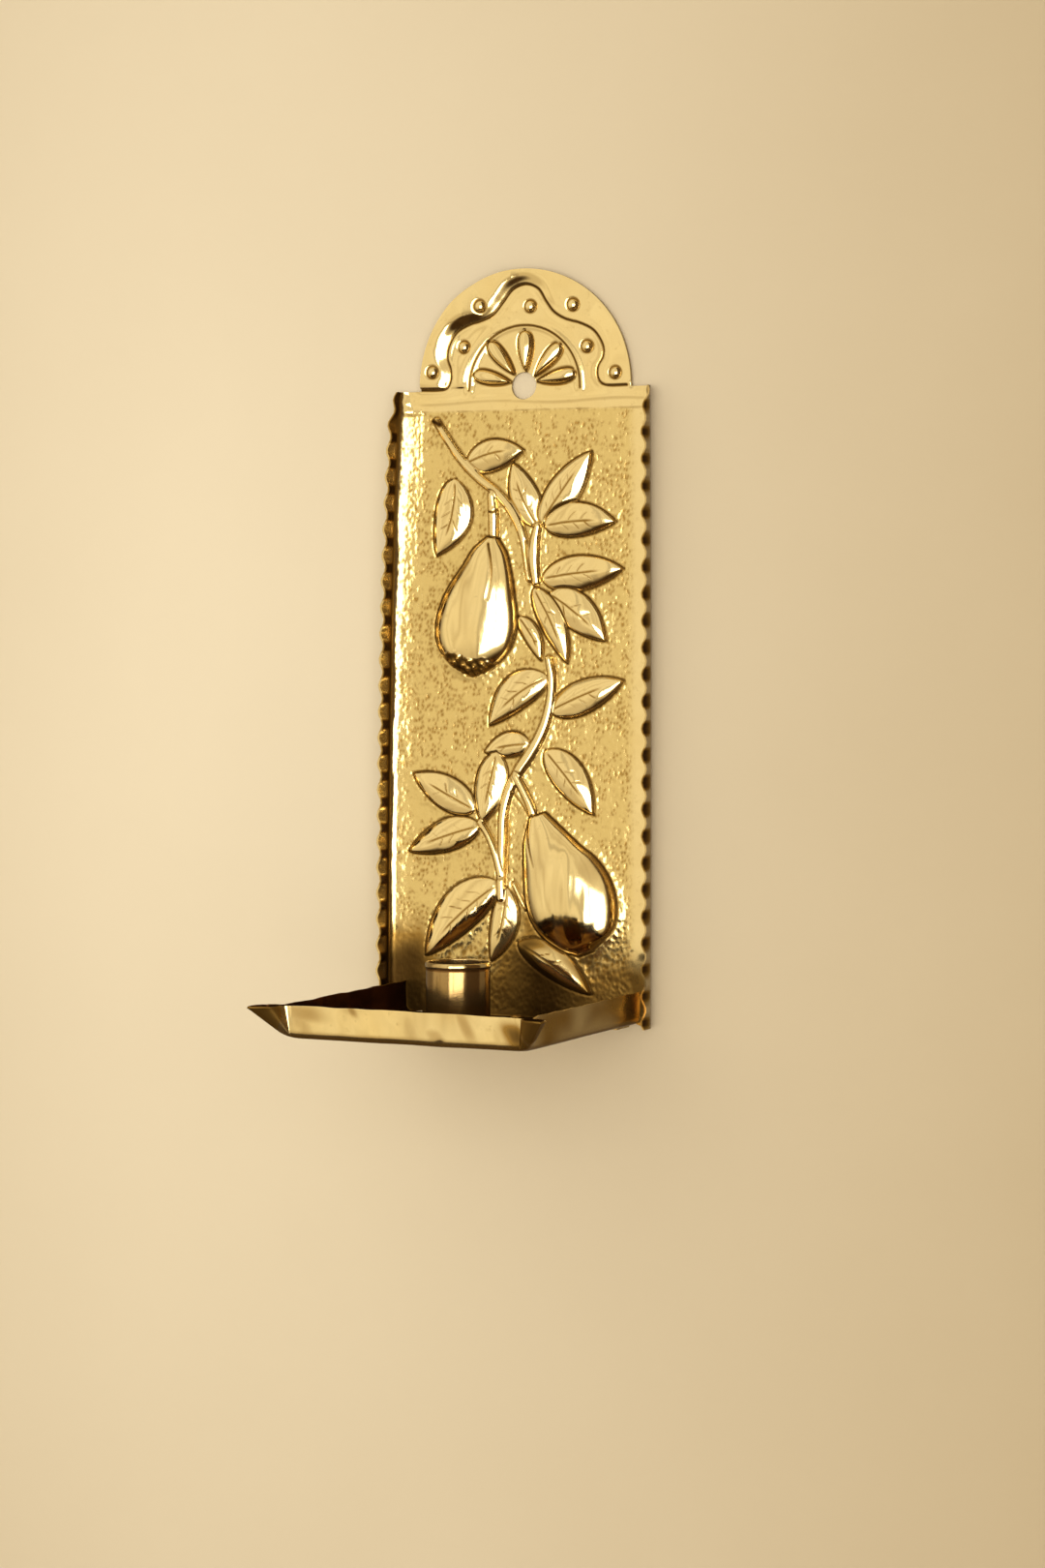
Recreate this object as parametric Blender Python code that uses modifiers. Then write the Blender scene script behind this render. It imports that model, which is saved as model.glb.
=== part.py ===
# Wall sconce for one candle: a chased brass back plate, a folded drip tray riveted to its
# bottom lap, and a drawn candle socket riveted to the tray.
# Frame: metres, +Z up, the front faces -Y. The origin is the centre of the hanging hole,
# in the plane of the wall.

import math

import bmesh
import bpy
import numpy as np

mm = 0.001

# Sheet, fits and smoothness
plate_sheet = 0.7 * mm
tray_sheet = 0.7 * mm
socket_sheet = 0.6 * mm
touch_gap = 0.3 * mm            # between two faces that bear on each other
hole_clearance = 0.3 * mm       # between a rivet's shank and its hole, on the radius

# Back plate. The sides are bent by hand: each has its own width, flare and bend.
left_half_width = 52.4 * mm     # at the top, from the hanging hole
right_half_width = 53.6 * mm
left_flare = 6.8 * mm           # how much a side widens on the way down
right_flare = 0.9 * mm
flare_length = 84.0 * mm
left_bend = 7.2 * mm            # loose at the top, and tighter below
right_bend = 4.2 * mm
bottom_bend = 3.6 * mm
straight_flange_min = 1.5 * mm
flange_depth = 9.4 * mm
flange_top_depth = 5.2 * mm     # the flanges' upper ends are dressed back over this run
flange_top_run = 12.5 * mm
panel_top = -1.3 * mm           # top edge of the panel, just under the hanging hole's centre
plate_drop = 243.0 * mm         # from the hanging hole down to the underside of the lap
shoulder = 1.6 * mm             # flat sheet between the crest's foot and the side bend
hanging_hole_radius = 5.2 * mm
crimp_count = 24
crimp_height = 0.85 * mm
lap_bend = 2.0 * mm
lap_depth = 13.0 * mm

# Raised pears: stalk end, blossom end (x, z), half width and height of the relief
pears = [
    ((-13.0 * mm, -57.0 * mm), (-21.0 * mm, -109.0 * mm), 18.0 * mm, 6.5 * mm),
    ((6.0 * mm, -163.0 * mm), (23.0 * mm, -217.0 * mm), 20.0 * mm, 7.0 * mm),
]
pear_fullness = 1.7             # 1 puts the widest place halfway down, more puts it lower
pear_shoulder = 0.8

# Drip tray
tray_left_room = 5.2 * mm       # from the foot of the left side bend to the tray's rim
tray_right_room = 1.4 * mm
tray_reach = 99.9 * mm          # from the wall to the inside of the front rim
rim_height = 12.6 * mm          # from the underside of the floor to the top edge
tray_bend = 2.6 * mm
corner_radius = 4.2 * mm
ear_length = 13.6 * mm          # a pinched corner reaches out about as far as the rim is high
ear_gap = 1.8 * mm              # half the gap at its neck
ear_belly = 3.8 * mm            # half its width at the widest place

# Candle socket
candle_diameter = 22.0 * mm
candle_clearance = 0.3 * mm     # on the radius
socket_height = 25.6 * mm
socket_from_wall = 56.0 * mm
socket_bottom_radius = 1.5 * mm
bead_height = 2.3 * mm
bead_proud = 0.4 * mm

# Rivets and the burr, a small washer
socket_shank = 1.6 * mm
lap_shank = 1.3 * mm
head_ratio = 2.0                # radius of a head to that of its shank
hole_dish = 0.1 * mm            # how far the socket's bottom is drawn down at its hole
head_rise = 0.9                 # height of a head in shank radii
tail_ratio = 1.5
tail_rise = 0.7
burr_ratio = 2.5
burr_thickness = 0.8 * mm
lap_rivet_count = 3
lap_rivet_margin = 9.0 * mm     # from the lap's end to the first rivet

# Places worked out from the sizes
crest_radius = (left_half_width + right_half_width) / 2 - max(left_bend, right_bend) - shoulder
crest_centre = (right_half_width - left_half_width) / 2
panel_bottom = -plate_drop
lap_top = panel_bottom + plate_sheet
floor_under = lap_top + touch_gap
floor_top = floor_under + tray_sheet
rim_top = floor_under + rim_height
tray_left = -(left_half_width + left_flare - bottom_bend - tray_left_room - tray_sheet)
tray_right = right_half_width + right_flare - bottom_bend - tray_right_room - tray_sheet
tray_width = tray_right - tray_left
tray_centre = (tray_left + tray_right) / 2
tray_back = -(lap_bend + touch_gap)
socket_inner_radius = candle_diameter / 2 + candle_clearance
socket_outer_radius = socket_inner_radius + socket_sheet
socket_under = floor_top + touch_gap
lap_rivet_y = -(lap_bend + lap_depth) / 2
burr_top = floor_under - touch_gap

# Mesh divisions
inner_columns = 14
arc_steps = 3
rows_per_crimp = 3
crest_rows = 14
lap_bend_steps = 3
socket_steps = 40
rivet_steps = 20
cutter_sides = 24
cutter_reach = 6.0 * mm         # depth of a cutter across the sheets it pierces


def new_collection(name):
    collection = bpy.data.collections.new(name)
    bpy.context.scene.collection.children.link(collection)
    return collection


def brass(name, color, roughness):
    material = bpy.data.materials.new(name)
    material.use_nodes = True
    shader = material.node_tree.nodes["Principled BSDF"]
    shader.inputs["Base Color"].default_value = (*color, 1.0)
    shader.inputs["Metallic"].default_value = 1.0
    shader.inputs["Roughness"].default_value = roughness
    return material


def add_object(name, bm, collection, material=None, smooth_angle=None):
    mesh = bpy.data.meshes.new(name)
    bm.to_mesh(mesh)
    bm.free()
    if smooth_angle is not None:
        mesh.shade_smooth()
        mesh.set_sharp_from_angle(angle=math.radians(smooth_angle))
    piece = bpy.data.objects.new(name, mesh)
    collection.objects.link(piece)
    if material is not None:
        mesh.materials.append(material)
    return piece


def add_solidify(piece, thickness):
    shell = piece.modifiers.new("Sheet", "SOLIDIFY")
    shell.thickness = thickness
    shell.offset = 1.0
    shell.use_even_offset = True


def add_cut(piece, cutter):
    cut = piece.modifiers.new("Cut " + cutter.name, "BOOLEAN")
    cut.operation = "DIFFERENCE"
    cut.solver = "EXACT"
    cut.object = cutter


def add_cutter(name, radius, depth, location, along_y=False):
    bm = bmesh.new()
    bmesh.ops.create_cone(bm, cap_ends=True, segments=cutter_sides, radius1=radius,
                          radius2=radius, depth=depth)
    cutter = add_object(name, bm, cutters)
    cutter.location = location
    if along_y:
        cutter.rotation_euler = (math.radians(90), 0.0, 0.0)
    cutter.hide_render = True
    cutter.display_type = "WIRE"
    return cutter


def half_width(side, z):
    # The sides widen fastest below the crest and run nearly straight lower down.
    start, flare = (right_half_width, right_flare) if side > 0 else (left_half_width, left_flare)
    return start + flare * (1 - math.exp(z / flare_length))


def flange_reach(z):
    # Depth of the flange at height z, less near its dressed upper end.
    down = min((panel_top - z) / flange_top_run, 1.0)
    return flange_top_depth + (flange_depth - flange_top_depth) * down


def side_bend(side, z):
    top_bend = right_bend if side > 0 else left_bend
    bend = bottom_bend + (top_bend - bottom_bend) * math.exp(z / flare_length)
    return min(bend, flange_reach(z) - straight_flange_min)


def side_section(side, z):
    # Outer skin of one side at height z, from the flat panel round the bend to the free edge.
    bend = side_bend(side, z)
    reach = flange_reach(z)
    start = half_width(side, z) - bend
    points = [(start, 0.0)]
    for step in range(1, arc_steps + 1):
        angle = math.radians(90) * step / arc_steps
        points.append((start + bend * math.sin(angle), -bend * (1 - math.cos(angle))))
    points.append((start + bend, -(bend + reach) / 2))
    points.append((start + bend, -reach))
    # The crimps wave the sheet sideways, fully at the free edge and not at all half way back.
    crimp_pitch = (panel_top - panel_bottom) / crimp_count
    wave = crimp_height * math.sin(2 * math.pi * (panel_top - z) / crimp_pitch)
    section = []
    for x, y in points:
        share = max(0.0, (-y - reach / 2) / (reach / 2))
        section.append((side * (x + wave * share), y))
    return section


def relief(x, z):
    # Height of the pears: round across, and lower where the fruit narrows towards its stalk.
    height = 0.0
    for (top_x, top_z), (end_x, end_z), width, rise in pears:
        length = math.hypot(end_x - top_x, end_z - top_z)
        along_x, along_z = (end_x - top_x) / length, (end_z - top_z) / length
        along = ((x - top_x) * along_x + (z - top_z) * along_z) / length
        across = (x - top_x) * along_z - (z - top_z) * along_x
        if 0.0 < along < 1.0:
            local_width = width * math.sin(math.pi * along ** pear_fullness) ** pear_shoulder
            if abs(across) < local_width:
                dome = 1 - (across / local_width) ** 2
                height = max(height, rise * dome * local_width / width)
    return height


def plate_rows():
    # Each row is (kind, height of the middle, height of the sides, distance out from the wall).
    rows = []
    for step in range(crest_rows + 1):
        angle = math.radians(90) * (1 - step / crest_rows)
        z = crest_radius * math.sin(angle)
        rows.append(("crest", z, z, 0.0))
    panel_steps = crimp_count * rows_per_crimp
    middle_bottom = panel_bottom + lap_bend
    for step in range(panel_steps + 1):
        share = step / panel_steps
        middle = panel_top + (middle_bottom - panel_top) * share
        rows.append(("panel", middle, panel_top + (panel_bottom - panel_top) * share, 0.0))
    for step in range(1, lap_bend_steps + 1):
        angle = math.radians(90) * step / lap_bend_steps
        z = middle_bottom - lap_bend * math.sin(angle)
        rows.append(("lap", z, z, -lap_bend * (1 - math.cos(angle))))
    rows.append(("lap", panel_bottom, panel_bottom, -lap_depth))
    return rows


def row_points(row):
    kind, middle_z, side_z, y = row
    shares = [2 * column / inner_columns - 1 for column in range(inner_columns + 1)]
    reach = crest_radius
    if kind == "crest":
        reach = math.sqrt(max(crest_radius ** 2 - middle_z ** 2, 0.0))
    middle = [(crest_centre + reach * share, y, middle_z) for share in shares]
    if kind == "panel":
        middle = [(x, -relief(x, middle_z), z) for x, _, z in middle]
    left = [(x, out, side_z) for x, out in reversed(side_section(-1, side_z))]
    right = [(x, out, side_z) for x, out in side_section(1, side_z)]
    return left + middle + right


def build_back_plate(material):
    # One sheet laid out as a grid: crest, panel with its sides, and the lap under the tray.
    rows = plate_rows()
    points = np.array([row_points(row) for row in rows])
    row_count, column_count = points.shape[:2]
    bm = bmesh.new()
    bmesh.ops.create_grid(bm, x_segments=column_count - 1, y_segments=row_count - 1, size=1.0)
    side_columns = (column_count - inner_columns - 1) // 2
    place = {}
    for vert in bm.verts:
        column = round((vert.co.x + 1) / 2 * (column_count - 1))
        row = round((1 - vert.co.y) / 2 * (row_count - 1))
        place[vert] = (row, column)
    outside = []
    for face in bm.faces:
        face_rows = [place[vert][0] for vert in face.verts]
        face_columns = [place[vert][1] for vert in face.verts]
        on_side = min(face_columns) < side_columns or max(face_columns) > side_columns + inner_columns
        in_panel = rows[min(face_rows)][0] == "panel" and rows[max(face_rows)][0] == "panel"
        if on_side and not in_panel:
            outside.append(face)
    for vert, (row, column) in place.items():
        vert.co = points[row, column]
    bmesh.ops.delete(bm, geom=outside, context="FACES")
    bmesh.ops.remove_doubles(bm, verts=bm.verts[:], dist=0.01 * mm)
    piece = add_object("back_plate", bm, parts, material, smooth_angle=40)
    add_solidify(piece, plate_sheet)
    return piece


def smooth_through(points, steps):
    # A curve through every point, each stretch a cubic that leaves along its neighbours' chord.
    points = np.array(points)
    padded = np.vstack([2 * points[0] - points[1], points, 2 * points[-1] - points[-2]])
    curve = [points[0]]
    for start in range(len(points) - 1):
        before, first, second, after = padded[start:start + 4]
        for step in range(1, steps + 1):
            t = step / steps
            curve.append(0.5 * (2 * first + (second - before) * t
                                + (2 * before - 5 * first + 4 * second - after) * t ** 2
                                + (3 * first - before - 3 * second + after) * t ** 3))
    return np.array(curve)


def ear_outline():
    # Half of a pinched corner at the rim's top edge, as (out along the diagonal, across it):
    # it leaves the rim, closes to the neck, swells to the belly and meets its twin at the tip.
    leave = corner_radius + ear_gap
    return [(-leave, -leave), (-ear_gap, -ear_gap * 1.6), (ear_gap * 0.6, -ear_gap),
            (ear_length * 0.45, -ear_belly), (ear_length * 0.8, -ear_belly * 0.6),
            (ear_length, 0.0)]


def tray_corner(side):
    # Floor and rim paths round one front corner, from the side rim to the front rim.
    corner = np.array([side * tray_width / 2, -tray_reach])
    diagonal = np.array([side, -1.0]) / math.sqrt(2)
    across = np.array([1.0, side]) / math.sqrt(2)
    half = smooth_through(ear_outline(), 2)
    twin = half[::-1][1:] * (1, -1)
    local = np.vstack([half, twin])
    rim = corner + np.outer(local[:, 0], diagonal) + np.outer(local[:, 1] * -side, across)
    centre = corner + np.array([-side, 1.0]) * corner_radius
    turn = np.linspace(0, math.pi / 2, len(local))
    floor = centre + corner_radius * np.column_stack([side * np.cos(turn), -np.sin(turn)])
    floor[0] = (corner[0], rim[0][1])
    floor[-1] = (rim[-1][0], corner[1])
    return floor, rim


def build_drip_tray(material):
    # The rim is a loft from the floor's rounded outline to the top edge with its pinched corners.
    left_floor, left_rim = tray_corner(-1)
    right_floor, right_rim = tray_corner(1)
    back_left = np.array([[-tray_width / 2, tray_back]])
    back_right = back_left * (-1, 1)
    floor = np.vstack([back_left, left_floor, right_floor[::-1], back_right])
    rim = np.vstack([back_left, left_rim, right_rim[::-1], back_right])
    middle = np.array([0.0, -tray_reach / 2])
    room = np.array([tray_width / 2, tray_reach / 2])
    inset = middle + (floor - middle) * (1 - tray_bend / room)
    inset[0, 1] = inset[-1, 1] = tray_back
    inside_height = rim_top - floor_top
    angles = [math.radians(degrees) for degrees in (0, 30, 60, 90)]
    levels = [(math.sin(angle), tray_bend * (1 - math.cos(angle))) for angle in angles]
    levels += [(1.0, inside_height * 0.6), (1.0, inside_height)]
    bm = bmesh.new()
    loops = []
    for out, height in levels:
        path = inset + (floor - inset) * out + (rim - floor) * (height / inside_height)
        loops.append([bm.verts.new((x + tray_centre, y, floor_top + height)) for x, y in path])
    for lower, upper in zip(loops, loops[1:]):
        for index in range(len(lower) - 1):
            bm.faces.new((lower[index], upper[index], upper[index + 1], lower[index + 1]))
    bm.faces.new(loops[0])
    bmesh.ops.recalc_face_normals(bm, faces=bm.faces[:])
    underside = min(bm.faces, key=lambda face: face.calc_center_median().z)
    if underside.normal.z > 0:
        bmesh.ops.reverse_faces(bm, faces=bm.faces[:])
    piece = add_object("drip_tray", bm, parts, material, smooth_angle=40)
    add_solidify(piece, tray_sheet)
    return piece


def add_turned(name, profile, steps, location, material):
    # A closed outline at +X, listed down its outer side first, turned once about Z.
    bm = bmesh.new()
    verts = [bm.verts.new((radius, 0.0, z)) for radius, z in profile]
    on_axis = profile[0][0] == 0.0
    for first, second in zip(verts, verts[1:]):
        bm.edges.new((first, second))
    if not on_axis:
        bm.edges.new((verts[-1], verts[0]))
    piece = add_object(name, bm, parts, material)
    piece.location = location
    turn = piece.modifiers.new("Turn", "SCREW")
    turn.steps = steps
    turn.render_steps = steps
    turn.use_smooth_shade = True
    turn.use_merge_vertices = True
    turn.merge_threshold = 0.00001
    return piece


def arc_points(centre_radius, centre_z, radius, start, end, steps):
    angles = [math.radians(start + (end - start) * step / steps) for step in range(steps + 1)]
    return [(centre_radius + radius * math.cos(a), centre_z + radius * math.sin(a)) for a in angles]


def build_candle_socket(material):
    # A drawn cup with a rolled bead at its mouth and a flat bottom pierced for its rivet.
    outer, inner = socket_outer_radius, socket_inner_radius
    bead_middle = socket_height - bead_height / 2
    bead = []
    for step in range(7):
        angle = math.radians(90 - 30 * step)
        bead.append((outer + bead_proud * math.cos(angle), bead_middle + bead_height / 2 * math.sin(angle)))
    rolled_in = [(inner, socket_height - bead_height / 4), ((inner + outer) / 2, socket_height)]
    corner = arc_points(outer - socket_bottom_radius, socket_bottom_radius, socket_bottom_radius, 0, -90, 4)
    hole = socket_shank + hole_clearance
    seat = socket_shank * head_ratio + hole_clearance
    inner_bend = socket_bottom_radius - socket_sheet
    inside = arc_points(inner - inner_bend, socket_sheet + inner_bend, inner_bend, -90, 0, 3)
    bottom = [(hole, 0.0), (hole, socket_sheet - hole_dish), (seat, socket_sheet)]
    profile = bead + corner + bottom + inside + rolled_in
    place = (tray_centre, -socket_from_wall, socket_under)
    return add_turned("candle_socket", profile, socket_steps, place, material)


def rivet_profile(shank, grip):
    # Head above z = 0, shank down through the grip, and the closed tail below it.
    head, rise = shank * head_ratio, shank * head_rise
    tail, drop = shank * tail_ratio, shank * tail_rise
    dome = []
    for degrees in (90, 65, 40, 20, 0):
        angle = math.radians(degrees)
        dome.append((head * math.cos(angle) if degrees < 90 else 0.0, rise * math.sin(angle)))
    upset = []
    for degrees in (0, -30, -60):
        angle = math.radians(degrees)
        upset.append((tail * math.cos(angle), -grip + drop * math.sin(angle)))
    return dome + [(shank, 0.0), (shank, -grip)] + upset + [(0.0, -grip - drop)]


def build_socket_rivet(material):
    # It clamps the socket's bottom, the tray's floor and the burr.
    seat = socket_under + socket_sheet + touch_gap
    grip = seat - (burr_top - burr_thickness - touch_gap)
    place = (tray_centre, -socket_from_wall, seat)
    profile = rivet_profile(socket_shank, grip)
    return add_turned("socket_rivet", profile, rivet_steps, place, material)


def build_socket_burr(material):
    # A washer under the tray that the socket's rivet is closed over.
    outer, hole = socket_shank * burr_ratio, socket_shank + hole_clearance
    profile = [(outer, 0.0), (outer, -burr_thickness), (hole, -burr_thickness), (hole, 0.0)]
    place = (tray_centre, -socket_from_wall, burr_top)
    return add_turned("socket_burr", profile, rivet_steps, place, material)


def lap_rivet_places():
    spread = crest_radius - lap_rivet_margin
    shares = [2 * index / (lap_rivet_count - 1) - 1 for index in range(lap_rivet_count)]
    return [(crest_centre + spread * share, lap_rivet_y) for share in shares]


def build_lap_rivets(material):
    # They hold the tray's floor down on the plate's lap.
    seat = floor_top + touch_gap
    grip = seat - (panel_bottom - touch_gap)
    for number, (x, y) in enumerate(lap_rivet_places(), start=1):
        profile = rivet_profile(lap_shank, grip)
        add_turned(f"lap_rivet_{number}", profile, rivet_steps, (x, y, seat), material)


for old in list(bpy.data.objects):
    bpy.data.objects.remove(old, do_unlink=True)
parts = new_collection("wall_sconce")
cutters = new_collection("cutters")

polished = (0.78, 0.57, 0.22)
plate_brass = brass("plate_brass", polished, 0.22)
tray_brass = brass("tray_brass", (0.74, 0.53, 0.20), 0.2)
socket_brass = brass("socket_brass", (0.72, 0.50, 0.20), 0.16)
rivet_brass = brass("rivet_brass", (0.66, 0.46, 0.20), 0.32)

plate = build_back_plate(plate_brass)
tray = build_drip_tray(tray_brass)
build_candle_socket(socket_brass)
build_socket_rivet(rivet_brass)
build_socket_burr(rivet_brass)
build_lap_rivets(rivet_brass)

hanging_hole = add_cutter("hanging_hole_cutter", hanging_hole_radius, cutter_reach, (0, 0, 0), True)
add_cut(plate, hanging_hole)
for number, (x, y) in enumerate(lap_rivet_places(), start=1):
    place = (x, y, (floor_top + panel_bottom) / 2)
    lap_hole = add_cutter(f"lap_hole_cutter_{number}", lap_shank + hole_clearance, cutter_reach, place)
    add_cut(plate, lap_hole)
    add_cut(tray, lap_hole)
socket_hole_place = (tray_centre, -socket_from_wall, (floor_top + floor_under) / 2)
socket_hole = add_cutter("socket_hole_cutter", socket_shank + hole_clearance, cutter_reach, socket_hole_place)
add_cut(tray, socket_hole)
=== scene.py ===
import math
import bmesh
import bpy
import numpy as np
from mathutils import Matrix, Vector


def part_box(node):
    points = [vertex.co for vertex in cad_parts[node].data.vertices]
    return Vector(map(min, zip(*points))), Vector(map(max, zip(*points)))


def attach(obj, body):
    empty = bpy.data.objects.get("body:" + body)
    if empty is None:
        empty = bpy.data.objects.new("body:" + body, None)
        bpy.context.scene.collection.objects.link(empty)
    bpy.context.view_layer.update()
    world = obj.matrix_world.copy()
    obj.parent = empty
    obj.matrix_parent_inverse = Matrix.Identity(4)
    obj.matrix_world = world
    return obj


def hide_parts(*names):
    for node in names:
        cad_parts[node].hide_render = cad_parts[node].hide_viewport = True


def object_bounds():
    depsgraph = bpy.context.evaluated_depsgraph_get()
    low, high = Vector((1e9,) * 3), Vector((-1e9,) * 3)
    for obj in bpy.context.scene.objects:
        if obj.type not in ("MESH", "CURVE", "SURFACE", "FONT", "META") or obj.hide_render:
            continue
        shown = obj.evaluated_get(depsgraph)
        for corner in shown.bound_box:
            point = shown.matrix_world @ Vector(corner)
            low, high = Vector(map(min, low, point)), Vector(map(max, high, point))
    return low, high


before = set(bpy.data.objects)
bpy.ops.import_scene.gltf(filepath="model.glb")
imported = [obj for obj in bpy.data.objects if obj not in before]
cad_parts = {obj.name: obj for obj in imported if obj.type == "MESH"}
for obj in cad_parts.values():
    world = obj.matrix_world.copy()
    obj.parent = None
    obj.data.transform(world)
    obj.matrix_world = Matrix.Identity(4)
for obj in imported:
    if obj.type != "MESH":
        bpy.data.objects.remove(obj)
cadLow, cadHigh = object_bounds()
mm = 0.001
print("frame loaded:", len(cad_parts), "parts")

# Small tools shared by the pieces


def smoothStep(low, high, value):
    # 0 below low, 1 above high, and an S curve between: 3t^2 - 2t^3
    t = np.clip((value - low) / (high - low), 0.0, 1.0)
    return t * t * (3 - 2 * t)


def curveThrough(points, steps):
    # Cubic through every point; each stretch leaves along the chord of its neighbours
    p = np.array(points, float)
    p = np.vstack([2 * p[0] - p[1], p, 2 * p[-1] - p[-2]])
    t = np.linspace(0, 1, steps, endpoint=False)[None, :, None]
    a, b, c, d = (p[i:len(p) - 3 + i, None, :] for i in range(4))
    bend = (2 * a - 5 * b + 4 * c - d) * t ** 2 + (3 * b - a - 3 * c + d) * t ** 3
    body = 0.5 * (2 * b + (c - a) * t + bend)
    return np.vstack([body.reshape(-1, p.shape[1]), p[-2]])


def hashNoise(i, j, seed):
    # One even random number in 0..1 for each whole-numbered cell, from the fraction of a large sine
    value = np.sin(i * 127.1 + j * 311.7 + seed * 74.7) * 43758.5453
    return value - np.floor(value)


def valueNoise(x, z, size, seed):
    # Random numbers at the corners of square cells, blended with an S curve across each cell
    u, v = x / size, z / size
    i, j = np.floor(u), np.floor(v)
    fu, fv = smoothStep(0, 1, u - i), smoothStep(0, 1, v - j)
    low = hashNoise(i, j, seed) * (1 - fu) + hashNoise(i + 1, j, seed) * fu
    high = hashNoise(i, j + 1, seed) * (1 - fu) + hashNoise(i + 1, j + 1, seed) * fu
    return (low * (1 - fv) + high * fv) * 2 - 1


def punchMarks(x, z, pitchX, pitchZ, seed):
    # One jittered mark per cell: exp(-7 x the squared distance to the nearest one, in cells)
    i, j = np.floor(x / pitchX), np.floor(z / pitchZ)
    best = np.full(x.shape, 9.0)
    for di in (-1, 0, 1):
        for dj in (-1, 0, 1):
            cx = i + di + 0.5 + 0.9 * (hashNoise(i + di, j + dj, seed) - 0.5)
            cz = j + dj + 0.5 + 0.9 * (hashNoise(i + di, j + dj, seed + 5) - 0.5)
            best = np.minimum(best, (x / pitchX - cx) ** 2 + (z / pitchZ - cz) ** 2)
    return np.exp(-best * 7)


def floatField(mesh, name, values):
    mesh.attributes.new(name, "FLOAT", "POINT").data.foreach_set("value", values.ravel().astype(np.float32))


def makeObject(name, mesh, material, node):
    piece = bpy.data.objects.new(name, mesh)
    bpy.context.scene.collection.objects.link(piece)
    mesh.materials.append(material)
    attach(piece, "root")
    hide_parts(node)
    return piece


# Brass finishes

brassFinish = {
    "polished": (0.885, 0.70, 0.345),
    "warm": (0.84, 0.62, 0.25),
    "brown": (0.36, 0.205, 0.045),
    "tarnish": (0.040, 0.018, 0.004),
    "punched": (0.76, 0.57, 0.225),
    "tarnishGloss": (0.10, 0.05, 0.015),
    "roughness": 0.10,
    "tarnishRoughness": 0.42,
}
# The tray's inside and the socket have darkened to a redder, glossier brown
redFinish = dict(brassFinish, brown=(0.29, 0.155, 0.043), tarnish=(0.050, 0.014, 0.007),
                 tarnishRoughness=0.22)
# Wear of all the brass. A noise is its scale and detail, then what it is multiplied by and what is added.
wear = {
    "clouds": (55.0, 4.0, 2.2, -0.75),
    "spots": (420.0, 3.0, 5.0, -3.1),
    "spotStrength": 0.30,
    "streaks": (75.0, 2.0, 2.6, -1.05),
    "streakStretch": (1.0, 1.0, 0.3),
    "metalLoss": -0.25,              # what full tarnish takes from the metallic look
    "smears": (130.0, 5.0), "smearSpread": 0.10,
    "scratches": (900.0, 2.0), "scratchHeight": 0.20,
    "dents": (160.0, 2.0), "dentHeight": 0.9,
    "punchScale": 900.0, "punchStretch": (1.0, 1.0, 0.55),
    "punchRoughness": 0.09, "punchHeight": 1.1,
    "bumpStrength": 0.35,
    "bumpDistance": 0.15 * mm,
}


def addNode(tree, kind, **settings):
    node = tree.nodes.new(kind)
    for key, value in settings.items():
        setattr(node, key, value)
    return node


def mathNode(tree, operation, first, second=None, clamp=False):
    node = addNode(tree, "ShaderNodeMath", operation=operation, use_clamp=clamp)
    for socket, value in zip(node.inputs, (first, second)):
        if value is None:
            continue
        if isinstance(value, bpy.types.NodeSocket):
            tree.links.new(value, socket)
        else:
            socket.default_value = value
    return node.outputs[0]


def scaled(tree, value, factor, shift, clamp=True):
    # value x factor + shift, kept within 0 and 1 if clamped
    result = mathNode(tree, "MULTIPLY_ADD", value, factor, clamp)
    result.node.inputs[2].default_value = shift
    return result


def ramp(tree, value, start, end):
    # 0 at the start and 1 at the end, with an S curve between; it falls where the end lies below the start
    node = addNode(tree, "ShaderNodeMapRange", interpolation_type="SMOOTHSTEP")
    node.inputs["From Min"].default_value = start
    node.inputs["From Max"].default_value = end
    tree.links.new(value, node.inputs["Value"])
    return node.outputs["Result"]


def stretched(tree, vector, stretch):
    mapping = addNode(tree, "ShaderNodeMapping")
    mapping.inputs["Scale"].default_value = stretch
    tree.links.new(vector, mapping.inputs["Vector"])
    return mapping.outputs["Vector"]


def noiseNode(tree, vector, scale, detail):
    node = addNode(tree, "ShaderNodeTexNoise")
    node.inputs["Scale"].default_value = scale
    node.inputs["Detail"].default_value = detail
    tree.links.new(vector, node.inputs["Vector"])
    return node.outputs["Fac"]


def wearNoise(tree, vector, key):
    scale, detail, factor, shift = wear[key]
    return scaled(tree, noiseNode(tree, vector, scale, detail), factor, shift)


def bumpNode(tree, shader, relief, strength, distance):
    bump = addNode(tree, "ShaderNodeBump")
    bump.inputs["Strength"].default_value = strength
    bump.inputs["Distance"].default_value = distance
    tree.links.new(relief, bump.inputs["Height"])
    tree.links.new(bump.outputs["Normal"], shader.inputs["Normal"])


def mixColor(tree, factor, first, second):
    node = addNode(tree, "ShaderNodeMix", data_type="RGBA")
    for socket, value in ((node.inputs[0], factor), (node.inputs[6], first), (node.inputs[7], second)):
        if isinstance(value, bpy.types.NodeSocket):
            tree.links.new(value, socket)
        elif isinstance(value, tuple):
            socket.default_value = (*value, 1.0)
        else:
            socket.default_value = value
    return node.outputs[2]


def newMaterial(name):
    material = bpy.data.materials.new(name)
    material.use_nodes = True
    tree = material.node_tree
    place = addNode(tree, "ShaderNodeTexCoord").outputs["Object"]
    return material, tree, tree.nodes["Principled BSDF"], place


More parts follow.
